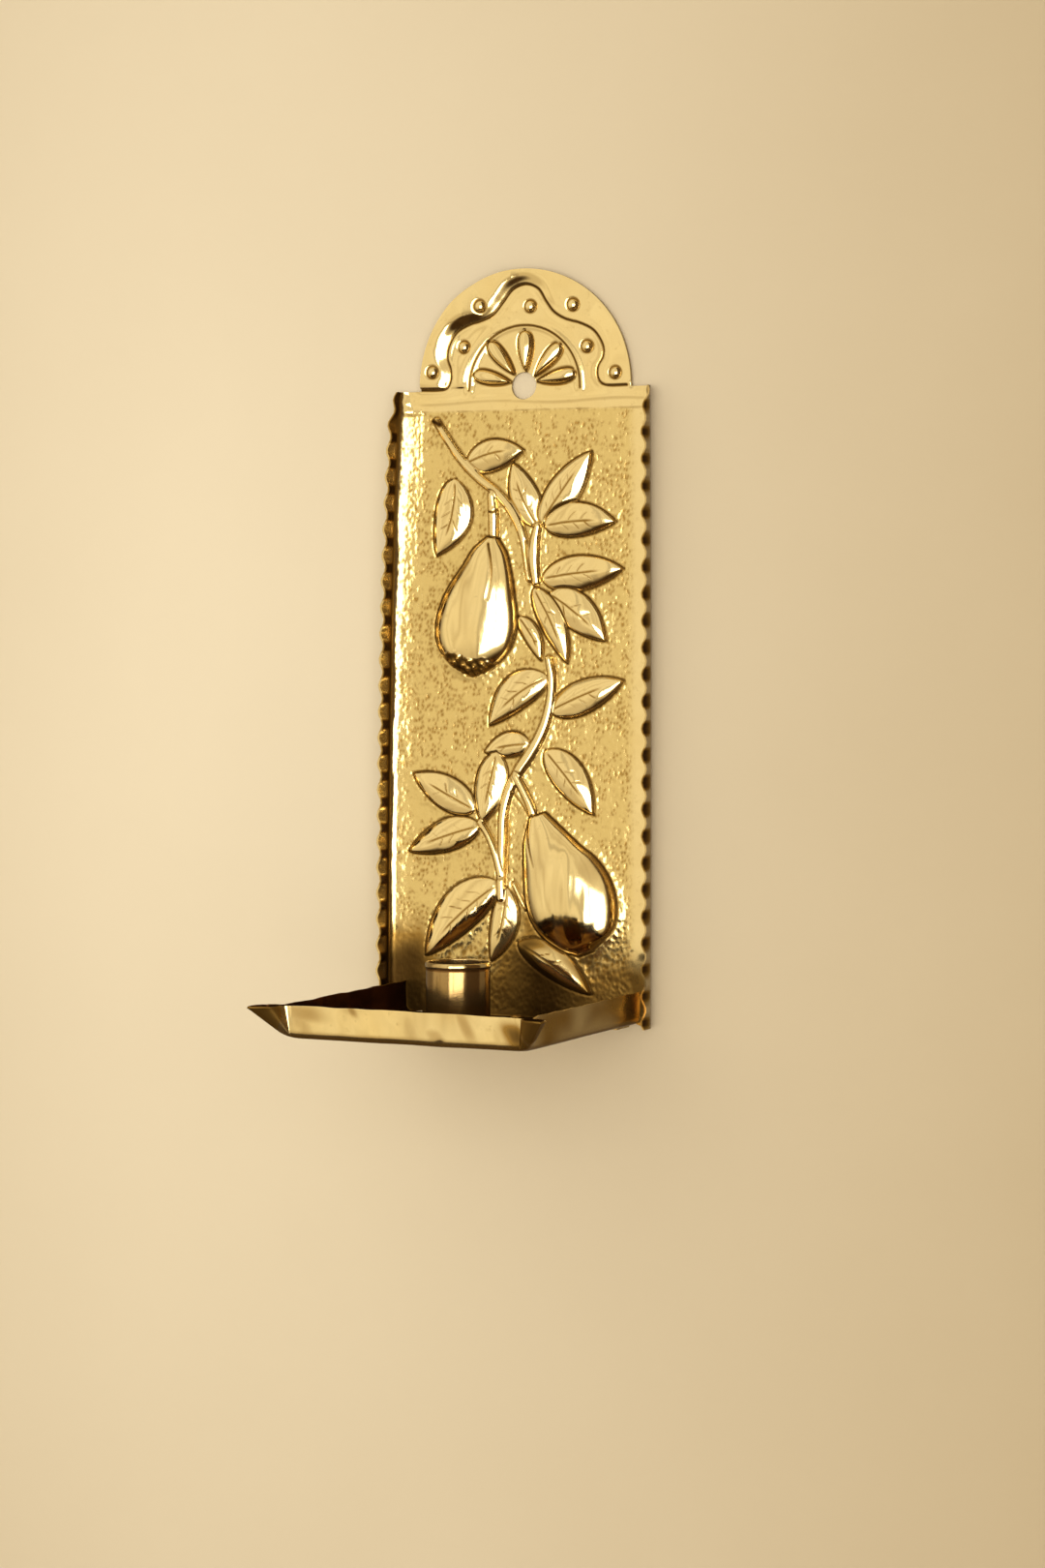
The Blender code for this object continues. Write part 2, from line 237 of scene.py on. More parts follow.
def brassMaterial(name, attributes, scratchTurn, finish=brassFinish, age=0.5, streak=0.0):
    # Polished to warm with slow noise, to brown with 2 x the darkening and on to tarnish with 2 x the
    # darkening - 1.
    # The darkening is the most of the spots, the streaks and the mesh's own fields, which hold tarnish and
    # painted shade.
    material, tree, shader, place = newMaterial(name)
    shader.inputs["Specular IOR Level"].default_value = 0.2
    clouds = mathNode(tree, "MULTIPLY", wearNoise(tree, place, "clouds"), age)
    color = mixColor(tree, clouds, finish["polished"], finish["warm"])
    stainAndShade = mathNode(tree, "MULTIPLY", wearNoise(tree, place, "spots"), wear["spotStrength"] * age)
    if streak:
        upright = wearNoise(tree, stretched(tree, place, wear["streakStretch"]), "streaks")
        stainAndShade = mathNode(tree, "MAXIMUM", stainAndShade, mathNode(tree, "MULTIPLY", upright, streak))
    for key in ("tarnishAndShade", "outside"):
        if key in attributes:
            own = addNode(tree, "ShaderNodeAttribute", attribute_name=key).outputs["Fac"]
            stainAndShade = mathNode(tree, "MAXIMUM", own, stainAndShade)
    if "ground" in attributes:
        punch = addNode(tree, "ShaderNodeAttribute", attribute_name="ground").outputs["Fac"]
        color = mixColor(tree, punch, color, finish["punched"])
    color = mixColor(tree, mathNode(tree, "MULTIPLY", stainAndShade, 2.0, True), color, finish["brown"])
    color = mixColor(tree, scaled(tree, stainAndShade, 2.0, -1.0), color, finish["tarnish"])
    tree.links.new(color, shader.inputs["Base Color"])
    gloss = mixColor(tree, stainAndShade, (1.0, 1.0, 1.0), finish["tarnishGloss"])
    tree.links.new(gloss, shader.inputs["Specular Tint"])
    tree.links.new(scaled(tree, stainAndShade, wear["metalLoss"], 1.0, False), shader.inputs["Metallic"])
    along = stretched(tree, place, scratchTurn)
    spread, plain = wear["smearSpread"], finish["roughness"]
    smears = scaled(tree, noiseNode(tree, along, *wear["smears"]), spread, plain - spread / 2, False)
    dulled = mathNode(tree, "MULTIPLY", stainAndShade, finish["tarnishRoughness"] - plain)
    roughness = mathNode(tree, "ADD", smears, dulled)
    scratches = mathNode(tree, "MULTIPLY", noiseNode(tree, along, *wear["scratches"]), wear["scratchHeight"])
    dents = mathNode(tree, "MULTIPLY", noiseNode(tree, place, *wear["dents"]), wear["dentHeight"])
    relief = mathNode(tree, "ADD", scratches, dents)
    if "ground" in attributes:
        rougher = mathNode(tree, "MULTIPLY", punch, wear["punchRoughness"])
        roughness = mathNode(tree, "ADD", roughness, rougher)
        cells = addNode(tree, "ShaderNodeTexVoronoi", feature="SMOOTH_F1")
        cells.inputs["Scale"].default_value = wear["punchScale"]
        cells.inputs["Smoothness"].default_value = 0.5
        tree.links.new(stretched(tree, place, wear["punchStretch"]), cells.inputs["Vector"])
        marks = mathNode(tree, "MULTIPLY", cells.outputs["Distance"], punch)
        relief = mathNode(tree, "ADD", relief, mathNode(tree, "MULTIPLY", marks, wear["punchHeight"]))
    tree.links.new(roughness, shader.inputs["Roughness"])
    bumpNode(tree, shader, relief, wear["bumpStrength"], wear["bumpDistance"])
    return material


# The height map of the chased plate, in millimetres: x across, z up, rise towards the front

chasing = {
    "cell": 0.25,                # size of one cell of the map
    "left": -61.0, "right": 61.0, "bottom": -246.0, "top": 47.0,
    "groove": 0.42,              # depth of a chased line
    "grooveWidth": 0.48,
    "groundLevel": -0.25,        # the punched ground lies this far under the smooth band
    "groundTop": -9.3,
    "skirt": 0.75,               # how far the ground follows the raised work beside it
    "pathSteps": 8,              # straight stretches between two points of a drawn line
}

mapX = np.arange(chasing["left"], chasing["right"], chasing["cell"])
mapZ = np.arange(chasing["bottom"], chasing["top"], chasing["cell"])
gridX, gridZ = np.meshgrid(mapX, mapZ)
height = np.zeros_like(gridX)
grooves = np.zeros_like(gridX)
raised = np.zeros_like(gridX)


def blurred(field, radius):
    # Gaussian blur: the field's waves are each weakened by exp(-(2 pi radius frequency)^2 / 2)
    fz = np.fft.fftfreq(field.shape[0], chasing["cell"])[:, None]
    fx = np.fft.rfftfreq(field.shape[1], chasing["cell"])[None, :]
    weakened = np.fft.rfft2(field) * np.exp(-2 * (math.pi * radius) ** 2 * (fx ** 2 + fz ** 2))
    return np.fft.irfft2(weakened, field.shape)


def lowered(field, radius):
    # Lowest value within a square of that radius
    steps = int(radius / chasing["cell"])
    for axis in (0, 1):
        field = np.min([np.roll(field, step, axis) for step in range(-steps, steps + 1)], axis=0)
    return field


def window(xs, zs, margin):
    # The rows and columns of the map round some points
    spans = []
    for values, start in ((zs, chasing["bottom"]), (xs, chasing["left"])):
        first = int((min(values) - margin - start) / chasing["cell"])
        last = int((max(values) + margin - start) / chasing["cell"])
        spans.append(slice(max(first, 0), last + 1))
    return tuple(spans)


def distanceTo(path, x, z):
    # Distance to the nearest of a path's straight stretches, and how far along it that is, 0 to 1
    starts, ends = path[:-1], path[1:]
    best, along = np.full(x.shape, 1e9), np.zeros(x.shape)
    for number, (a, b) in enumerate(zip(starts, ends)):
        d = b - a
        t = np.clip(((x - a[0]) * d[0] + (z - a[1]) * d[1]) / max(d @ d, 1e-9), 0, 1)
        r = np.hypot(x - a[0] - t * d[0], z - a[1] - t * d[1])
        along = np.where(r < best, (number + t) / len(starts), along)
        best = np.minimum(best, r)
    return best, along


def lay(area, outside, shape, edgeGroove=1.0, soft=0.35):
    # Paints one raised shape: it covers what lies under it, and a chased line runs round it.
    # outside is the distance from its outline, below zero inside it.
    cover = smoothStep(soft, -soft, outside)
    line = np.exp(-((outside - 0.35) / chasing["grooveWidth"]) ** 2) * edgeGroove
    cut = chasing["groove"] * line * (1 - 0.5 * cover)
    height[area] = height[area] * (1 - cover) + shape * cover - cut
    grooves[area] = np.maximum(grooves[area] * (1 - cover), line)
    raised[area] = np.maximum(raised[area], cover)


def layLine(points, depth=1.0, swell=0.0, swellWidth=2.0, width=None, fade=0.0):
    # A chased line along a smooth path, with an optional rounded swell either side of it
    path = curveThrough(points, chasing["pathSteps"])
    area = window(path[:, 0], path[:, 1], 8)
    r, along = distanceTo(path, gridX[area], gridZ[area])
    strength = depth * (1 - fade * along)
    line = np.exp(-(r / (width or chasing["grooveWidth"])) ** 2) * strength
    height[area] += swell * np.exp(-(r / swellWidth) ** 2) - chasing["groove"] * line
    grooves[area] = np.maximum(grooves[area], line)


def layStem(points, width, rise, lines=0.5):
    # A rounded stem: rise x the root of 1 - (0.92 x distance / half width)^2
    path = curveThrough(points, chasing["pathSteps"])
    area = window(path[:, 0], path[:, 1], 6)
    r, along = distanceTo(path, gridX[area], gridZ[area])
    half = np.interp(along, np.linspace(0, 1, len(width)), width) / 2
    body = rise * np.sqrt(np.clip(1 - (r / half * 0.92) ** 2, 0, 1)) + 0.25
    lay(area, r - half, body, lines)


def bladeFrame(base, tip, bow, area):
    # Place along the line from base to tip, 0 to 1, and distance across it from its bowed middle
    d = np.array(tip, float) - np.array(base, float)
    length = math.hypot(*d)
    d = d / length
    x, z = gridX[area] - base[0], gridZ[area] - base[1]
    along = (x * d[0] + z * d[1]) / length
    inside = np.clip(along, 0, 1)
    across = -x * d[1] + z * d[0] - bow * 4 * inside * (1 - inside)
    return along, across, length


def beyondEnds(s, length):
    # How far a place lies past either end of the line it is measured along
    return np.maximum(np.maximum(-s, s - 1), 0) * length


leafWork = {
    "blunt": 0.62, "sharp": 0.85,    # powers of the outline at the twig and at the tip
    "edgeSlope": 0.92,
    "plain": 0.45,                   # the edge stands this high
    "ripple": 0.22, "rippleSize": 4.6,
    "ribWidth": 0.42, "ribDepth": 0.22,
    "veinPitch": 5.0, "veinLean": 0.95, "veinWidth": 0.36, "veinDepth": 0.12,
    "tarnish": 0.72,                 # how dark the cut lines are
}


def leafVeins(area, s, across, u, length, seed):
    # One vein for each pitch along the leaf, leaning back from the rib, of uneven strength
    pitch = leafWork["veinPitch"]
    uneven = 0.22 * valueNoise(gridX[area], gridZ[area], 5.0, 83)
    turn = (s * length - np.abs(across) * leafWork["veinLean"]) / pitch + 0.4 * (across > 0) + uneven
    line = np.exp(-((turn % 1.0 - 0.5) * pitch / leafWork["veinWidth"]) ** 2)
    strength = 0.25 + 0.9 * hashNoise(np.floor(turn), across > 0, seed)
    sideways = smoothStep(0.04, 0.14, np.abs(u)) * smoothStep(0.66, 0.45, np.abs(u))
    lengthways = smoothStep(0.14, 0.24, s) * smoothStep(0.74, 0.60, s)
    return line * strength * sideways * lengthways


def layLeaf(base, tip, leftWidth, rightWidth, bow, rise, tilt):
    # Half width: s^blunt (1-s)^sharp, scaled to 1 at its widest. Seen from base to tip, left is positive.
    # Height: rise x (1 - u^2) x sin(pi s)^0.55, with tilt x u on top, u being the share of the half width
    margin = max(leftWidth, rightWidth) + abs(bow) + 3
    area = window((base[0], tip[0]), (base[1], tip[1]), margin)
    s, across, length = bladeFrame(base, tip, bow, area)
    inside = np.clip(s, 1e-4, 1 - 1e-4)
    blunt, sharp = leafWork["blunt"], leafWork["sharp"]
    widest = blunt / (blunt + sharp)
    shape = inside ** blunt * (1 - inside) ** sharp / (widest ** blunt * (1 - widest) ** sharp)
    half = np.where(across > 0, leftWidth, rightWidth) * shape
    beyond = beyondEnds(s, length)
    beside = (np.abs(across) - half) * leafWork["edgeSlope"]
    outside = np.where(beyond > 0, np.hypot(beyond, across), beside)
    u = np.clip(across / np.maximum(half, 0.3), -1.2, 1.2)
    dome = np.clip(1 - u ** 2, 0, 1) * np.sin(np.pi * inside) ** 0.55
    body = rise * dome + leafWork["plain"] + tilt * np.clip(u, -1, 1) * np.sin(np.pi * inside) ** 0.5
    body += leafWork["ripple"] * valueNoise(gridX[area], gridZ[area], leafWork["rippleSize"], 81) * dome
    rib = np.exp(-(across / leafWork["ribWidth"]) ** 2)
    rib = rib * smoothStep(0.0, 0.10, s) * smoothStep(0.82, 0.60, s)
    veins = leafVeins(area, s, across, u, length, base[0])
    lay(area, outside, body - leafWork["ribDepth"] * rib - leafWork["veinDepth"] * veins)
    marks = np.maximum(rib, veins) * leafWork["tarnish"] * smoothStep(0.2, -0.4, outside)
    grooves[area] = np.maximum(grooves[area], marks)


def layPear(pear):
    # Round across and along: rise x (1 - u^2.3)^0.62 x (how full it is there)^0.75
    base, tip = pear["stalkEnd"], pear["blossomEnd"]
    area = window((base[0], tip[0]), (base[1], tip[1]), 26)
    s, across, length = bladeFrame(base, tip, 0.0, area)
    inside = np.clip(s, 0, 1)
    left, right = (curveThrough(pear[key], chasing["pathSteps"]) for key in ("left", "right"))
    leftHalf = np.interp(inside, left[:, 0], left[:, 1])
    rightHalf = np.interp(inside, right[:, 0], right[:, 1])
    half = (leftHalf + rightHalf) / 2
    offset = across - (rightHalf - leftHalf) / 2
    u = np.clip(np.abs(offset) / np.maximum(half, 0.4), 0, 1)
    full = np.clip(half / half.max(), 0, 1)
    body = pear["rise"] * full ** 0.75 * np.clip(1 - u ** 2.3, 0, 1) ** 0.62 + 0.3
    body *= smoothStep(1.0, 0.93, s) * 0.35 + 0.65
    ripple = 0.16 * valueNoise(gridX[area], gridZ[area] * 0.6, 5.5, 71)
    ripple += 0.10 * valueNoise(gridX[area], gridZ[area] * 0.22, 3.0, 72)
    body += ripple * (1 - u ** 2)
    beyond = beyondEnds(s, length)
    beside = np.abs(offset) - half
    outside = np.where(beyond > 0, np.hypot(beyond, np.maximum(beside, 0)), beside * 0.88)
    lay(area, outside, body, 1.2, 0.5)
    return area, s, outside


# Each pear: its ends, its rise, and its half width either side as (share of its length, width)
pears = [
    {"stalkEnd": (-12.5, -58.0), "blossomEnd": (-22.0, -110.5), "rise": 6.3,
     "left": [(0, 3.0), (0.10, 7.7), (0.24, 11.2), (0.375, 14.9), (0.51, 17.4), (0.67, 18.4), (0.80, 17.0),
              (0.89, 13.6), (0.96, 8.6), (1.0, 2.0)],
     "right": [(0, 2.2), (0.09, 6.3), (0.25, 10.1), (0.377, 12.4), (0.50, 14.4), (0.63, 15.3), (0.75, 14.2),
               (0.86, 10.9), (0.95, 6.0), (1.0, 1.5)]},
    {"stalkEnd": (6.0, -164.0), "blossomEnd": (25.0, -216.5), "rise": 6.8,
     "left": [(0, 3.5), (0.043, 5.1), (0.15, 8.9), (0.32, 12.3), (0.49, 15.2), (0.64, 16.1), (0.764, 14.4),
              (0.86, 11.0), (0.95, 6.2), (1.0, 2.0)],
     "right": [(0, 3.5), (0.053, 5.3), (0.174, 9.2), (0.295, 13.2), (0.40, 17.3), (0.53, 20.0), (0.667, 20.6),
               (0.807, 18.8), (0.92, 14.6), (1.0, 5.0)]},
]

# Each leaf: where it leaves its twig, its tip, widest half width on its left and right, bow, rise, tilt
leaves = [
    ((-24.5, -29.5), (0.0, -24.5), 5.4, 6.6, 1.6, 1.5, 0.2),
    ((-29.0, -35.0), (-37.0, -64.5), 7.6, 8.0, 3.0, 1.7, 0.0),
    ((6.0, -53.5), (-4.5, -29.5), 5.6, 6.2, 1.0, 1.5, 0.0),
    ((7.5, -52.5), (28.3, -25.5), 6.4, 6.6, 0.0, 1.9, 0.0),
    ((9.0, -53.5), (38.5, -52.0), 7.2, 5.6, 1.0, 1.6, 0.2),
    ((8.0, -73.5), (41.5, -69.8), 6.6, 6.6, 0.4, 1.8, 0.2),
    ((11.0, -79.0), (34.5, -97.0), 7.0, 6.4, 1.2, 1.7, 0.0),
    ((-2.0, -88.0), (7.5, -104.5), 3.4, 3.4, 1.4, 1.0, 0.0),
    ((4.5, -77.0), (18.5, -105.5), 5.0, 5.2, 1.4, 1.7, 0.3),
    ((10.5, -111.0), (-14.5, -129.5), 5.4, 8.2, -2.0, 1.9, 0.5),
    ((11.5, -124.0), (41.8, -112.0), 5.8, 6.6, 0.6, 2.0, -0.6),
    ((3.0, -136.5), (-16.5, -139.8), 4.2, 5.2, -0.6, 1.2, 0.0),
    ((9.5, -139.0), (29.5, -163.0), 7.0, 6.4, 1.0, 1.9, 0.0),
    ((-11.0, -140.0), (-17.5, -167.5), 6.4, 6.8, 0.4, 1.9, 0.0),
    ((-20.5, -162.5), (-47.0, -148.8), 6.2, 6.4, 0.0, 1.4, 0.0),
    ((-18.5, -168.5), (-49.0, -179.0), 5.8, 6.4, -0.6, 1.9, 0.7),
    ((-7.0, -192.0), (-13.5, -220.5), 6.0, 5.4, 1.8, 1.6, 0.0),
    ((-10.0, -190.5), (-42.0, -219.5), 6.4, 10.2, -1.6, 2.2, 0.6),
    ((-2.0, -213.0), (28.5, -231.5), 6.4, 5.6, 1.2, 2.2, 0.3),
]

# Each stem: points from its thick end, widths along it, rise
stems = [
    ([(-9.0, -196), (-9.2, -186), (-8.6, -175), (-8.2, -164), (-6.0, -155), (-1.8, -147), (3.0, -140.5),
      (7.0, -134), (10.0, -127), (11.8, -119), (12.2, -111), (11.0, -104)],
     (3.6, 3.4, 3.8, 4.4, 4.0, 3.4, 3.0), 1.7),
    ([(-37.0, -12.8), (-31, -21.5), (-25.5, -28.5), (-18.5, -35), (-11, -40.5), (-5.5, -46.5), (-1.2, -54),
      (1.2, -62), (3.0, -73)], (3.0, 3.4, 3.4, 3.4, 3.4), 1.6),
    ([(6.2, -53.5), (4.8, -60), (4.6, -67), (5.6, -74.5)], (3.0, 4.4, 3.6), 1.7),
    ([(-3.0, -149), (0.5, -155), (3.6, -161), (4.8, -165.5)], (3.2, 3.4, 3.6), 1.6),
    ([(-18.2, -167.0), (-14.5, -172.5), (-11.5, -179.5), (-9.4, -187)], (2.4, 2.6, 3.0), 1.2),
    ([(-13.2, -41.5), (-12.6, -47), (-12.4, -53), (-12.4, -59.5)], (3.4, 4.2, 3.6), 1.9),
    ([(-3.8, -190.5), (-1.2, -195.5), (1.4, -200)], (1.8, 1.4), 0.8),
]

crestWork = {
    "beads": [(-17.8, 30.6), (2.8, 30.0), (20.8, 30.0), (-25.4, 15.4), (26.4, 14.2), (-38.2, 6.0),
              (38.4, 4.0)],
    "beadRadius": 2.1,
    # Each petal: its inner and outer end, half width
    "petals": [((0.9, 5.6), (0.4, 20.6), 2.9), ((4.6, 3.6), (15.2, 15.2), 2.7),
               ((-4.2, 4.6), (-14.8, 16.6), 2.6), ((5.6, 1.6), (21.4, 4.4), 2.6),
               ((-5.8, 1.6), (-21.2, 4.8), 2.5)],
    "petalBlunt": 0.9, "petalSharp": 0.42,
    "wave": [(-43.5, -0.8), (-36.5, -0.9), (-32.6, -0.2), (-30.8, 3.2), (-31.0, 7.2), (-32.4, 11.5),
             (-31.6, 16.2), (-28.4, 21.0), (-23.0, 23.8), (-17.6, 25.2), (-12.8, 27.4), (-8.6, 32.0),
             (-4.4, 36.6), (1.0, 38.4), (6.2, 36.6), (9.6, 31.6), (12.8, 27.6), (17.6, 24.8), (24.0, 22.9),
             (29.4, 20.0), (33.0, 14.6), (33.2, 10.2), (31.2, 6.6), (31.0, 3.0), (32.6, 0.2), (36.0, -0.8),
             (43.2, -0.8)],
    "arcCentre": (0.2, -0.5), "arcRadius": 23.4,
    "rimCentre": 0.6,
    # How high the sheet climbs outside the wave, by degrees round from the right
    "climbAngles": (45, 97, 118, 133, 146, 158, 180),
    "climbs": (0.35, 2.3, 2.1, 2.7, 2.3, 1.6, 1.4),
    "climbReach": 2.7,
    "bank": 1.05, "bankReach": 2.2,  # a low bank outside the arc, on the left
}


def crestGround():
    # The border turns up towards the edge; outside the wave and the arc the sheet climbs away from the
    # line by 1 - exp(-(distance / reach)^2), steeply on the left
    work = crestWork
    fromX = gridX - work["rimCentre"]
    radius = np.hypot(fromX, gridZ)
    angle = np.degrees(np.arctan2(gridZ, fromX))
    top = smoothStep(-3.0, 3.0, gridZ)
    turnUp = 0.5 * np.clip((radius - 31.5) / 12.0, 0, 1) ** 1.3
    wave = curveThrough([point for point in work["wave"] if point[1] > -0.5], chasing["pathSteps"])
    waveX = wave[:, 0] - work["rimCentre"]
    waveAngle = np.degrees(np.arctan2(wave[:, 1], waveX))
    order = np.argsort(waveAngle)
    waveRadius = np.hypot(waveX, wave[:, 1])
    beyondWave = radius > np.interp(angle, waveAngle[order], waveRadius[order])
    rows = slice(window((0,), (-2,), 0)[0].start, None)
    r = np.full(gridX.shape, 50.0)
    r[rows] = distanceTo(wave, gridX[rows], gridZ[rows])[0]
    climb = np.interp(angle, work["climbAngles"], work["climbs"])
    climb = climb * (1 - np.exp(-(r / work["climbReach"]) ** 2)) * beyondWave
    fromArc = np.hypot(gridX - work["arcCentre"][0], gridZ - work["arcCentre"][1]) - work["arcRadius"]
    shell = smoothStep(0.4, -1.6, fromArc) * smoothStep(-1.5, 0.5, gridZ)
    fromArc = np.clip(fromArc, 0, 50)
    bank = work["bank"] * (1 - np.exp(-(fromArc / work["bankReach"]) ** 2)) * ~beyondWave
    bank = bank * smoothStep(100, 125, angle) * np.exp(-(np.clip(fromArc - 2.0, 0, 50) / 4.0) ** 2)
    uneven = np.sin(gridX * 0.21 + 0.8) * np.sin(gridZ * 0.24 + 0.4) * smoothStep(24, 30, radius)
    return (turnUp + climb + bank + 0.20 * uneven) * top, 0.35 * shell


def layPetal(base, tip, half):
    # Like a leaf, blunter at its outer end: rise x (1 - u^2)^0.7 x sin(pi s)^0.4
    area = window((base[0], tip[0]), (base[1], tip[1]), half + 4)
    s, across, length = bladeFrame(base, tip, 0.0, area)
    inside = np.clip(s, 1e-4, 1 - 1e-4)
    blunt, sharp = crestWork["petalBlunt"], crestWork["petalSharp"]
    widest = blunt / (blunt + sharp)
    shape = inside ** blunt * (1 - inside) ** sharp / (widest ** blunt * (1 - widest) ** sharp)
    beyond = beyondEnds(s, length)
    outside = np.where(beyond > 0, np.hypot(beyond, across), np.abs(across) - half * shape)
    u = np.clip(np.abs(across) / np.maximum(half * shape, 0.25), 0, 1)
    lay(area, outside, 1.7 * (1 - u ** 2) ** 0.7 * np.sin(np.pi * inside) ** 0.4 + 0.1, 0.9)


def layBead(x, z):
    # A small boss on the sheet as it lies there: 1.5 x the root of 1 - 0.9 x (distance / radius)^2
    area = window((x,), (z,), 6)
    r = np.hypot(gridX[area] - x, gridZ[area] - z)
    boss = 1.5 * np.sqrt(np.clip(1 - (r / crestWork["beadRadius"]) ** 2 * 0.9, 0, 1))
    lay(area, r - crestWork["beadRadius"], height[area].mean() + boss, 0.7)


def layCrest():
    climbing, shell = crestGround()
    height[:] += climbing
    layLine(crestWork["wave"], 1.1, 0.40, 2.0)
    angles = np.radians(np.linspace(-2, 182, 40))
    circle = crestWork["arcRadius"] * np.column_stack([np.cos(angles), np.sin(angles)])
    layLine((circle + crestWork["arcCentre"])[::3], 0.95, 0.5, 1.8)
    height[:] -= shell
    for base, tip, half in crestWork["petals"]:
        layPetal(base, tip, half)
    for x, z in crestWork["beads"]:
        layBead(x, z)


layCrest()
for leaf in leaves:
    layLeaf(*leaf)
for stem in stems:
    layStem(*stem)
pearFields = [layPear(pear) for pear in pears]
print("chased shapes laid:", len(leaves), "leaves,", len(stems), "stems,", len(pears), "pears")

# Fine lines: points, depth, swell beside it and its width, the line's width, how far it fades
fineLines = [
    ([(-13.8, -60), (-12.2, -66), (-11.6, -73), (-13.0, -81)], 1.0, 0.0, 2.0, 0.55, 0.7),    # pears
    ([(2.6, -166.5), (3.2, -173), (4.4, -178), (6.4, -183.5)], 1.0, 0.0, 2.0, 0.5, 0.6),
    ([(-14.6, -47.4), (-12.6, -48.0), (-10.8, -47.2)], 1.0, 0.3, 1.0, 0.45),     # ring on a stalk
    ([(-39.0, -12.6), (-37.0, -13.2), (-35.2, -14.2)], 1.0, 0.2, 1.6, 1.1),      # cut end of the twig
    ([(1.4, -59), (2.0, -66), (4.0, -74)], 0.9),     # creases along the twigs
    ([(-4.5, -155.5), (-1.0, -159.5), (2.6, -165)], 0.7),
    ([(-6.5, -186), (-6.3, -176), (-6.2, -166)], 0.6),
]
for line in fineLines:
    layLine(*line)

# The withered blossom: dark knobs along the first pear's foot
area, s, outside = pearFields[0]
ragged = 0.030 * valueNoise(gridX[area], gridZ[area], 2.2, 3)
ragged += 0.020 * valueNoise(gridX[area], gridZ[area], 1.0, 9)
blossom = smoothStep(0.855, 0.895, s + ragged) * smoothStep(1.2, -0.4, outside)
knobs = punchMarks(gridX[area], gridZ[area], 2.6, 2.8, 23)
height[area] += blossom * (1.1 * knobs - 0.4 + 0.3 * valueNoise(gridX[area], gridZ[area], 1.6, 21))
grooves[area] = np.maximum(grooves[area] * (1 - blossom), blossom * (0.80 - 0.40 * knobs))

# The ground between the shapes, punched all over; the smooth band and the margins are left plain
punching = {
    "left": (-58.0, -52.0), "right": (47.5, 42.5),       # where the punching sets in from either side
    "coarse": (2.3, 2.7), "coarseDepth": 0.11, "slopeDepth": 0.14,
    "fine": (1.35, 2.2), "fineDepth": 0.14, "lean": 0.32,
    "skirtSpread": 2.6,
}
openGround = 1 - raised
ground = openGround * smoothStep(chasing["groundTop"] + 0.5, chasing["groundTop"] - 0.5, gridZ)
punched = ground * smoothStep(*punching["right"], gridX) * smoothStep(*punching["left"], gridX)
skirt = blurred(height * (gridZ < -10), punching["skirtSpread"]) * openGround * chasing["skirt"]
fallRight = smoothStep(0.03, 0.16, -np.gradient(skirt, chasing["cell"], axis=1)) * openGround
coarse = punchMarks(gridX, gridZ, *punching["coarse"], 11)
leaning = gridX - punching["lean"] * gridZ + 0.6 * valueNoise(gridX, gridZ, 3.0, 4)
patches = valueNoise(gridX, gridZ * 0.7, 2.1, 77) + 0.4 * valueNoise(gridX, gridZ, 9.0, 78)
fleck = punchMarks(leaning, gridZ, *punching["fine"], 31) * smoothStep(-0.8, 0.4, patches)
height += skirt
height += ground * (chasing["groundLevel"] + 0.10 * valueNoise(gridX, gridZ, 4.2, 17))
coarseDepth = punching["coarseDepth"] + punching["slopeDepth"] * fallRight
height -= punched * (coarseDepth * (coarse - 0.4) + punching["fineDepth"] * fleck)

# Slow unevenness of hammered sheet, then the soft crease and the fine line across the smooth band
height += 0.16 * np.sin(gridX * 0.11 + gridZ * 0.043 + 0.5) * np.sin(gridZ * 0.083 - gridX * 0.02)
height += 0.06 * valueNoise(gridX, gridZ, 13.0, 41)
height += 0.42 * np.exp(-((gridZ + 4.9 + 0.5 * np.sin(gridX * 0.12)) / 1.4) ** 2)
height -= 0.10 * np.exp(-((gridZ + 9.2 + 0.4 * valueNoise(gridX, gridZ * 0, 3.0, 61)) / 0.8) ** 2)

# Tarnish in the cut lines and the hollows, streaked on the pears, flecked where the ground is punched, and
# painted shade on the punched ground towards the bottom
tarnishAndShade = np.clip(grooves * 1.6 - 0.3, 0, 1)
streaks = 0.5 * valueNoise(gridX, gridZ * 0.16, 2.4, 73) + 0.5 * valueNoise(gridX, gridZ * 0.3, 5.5, 74)
streaks = 0.2 * np.clip(streaks, 0, 1)
for area, s, outside in pearFields:
    tarnishAndShade[area] = np.maximum(tarnishAndShade[area], streaks[area] * smoothStep(0.3, -0.5, outside))
tarnishAndShade = np.maximum(tarnishAndShade, np.clip((blurred(height, 1.0) - height - 0.05) / 0.9, 0, 1) * 0.5)
tarnishAndShade = np.maximum(tarnishAndShade, punched * (fleck * 0.72 - 0.10) * (1 - 0.4 * fallRight))
# Painted shade: the coarse punch marks darkened towards the bottom, near the tray
tarnishAndShade = np.maximum(tarnishAndShade, punched * smoothStep(-205.0, -222.0, gridZ) * coarse * 0.8)

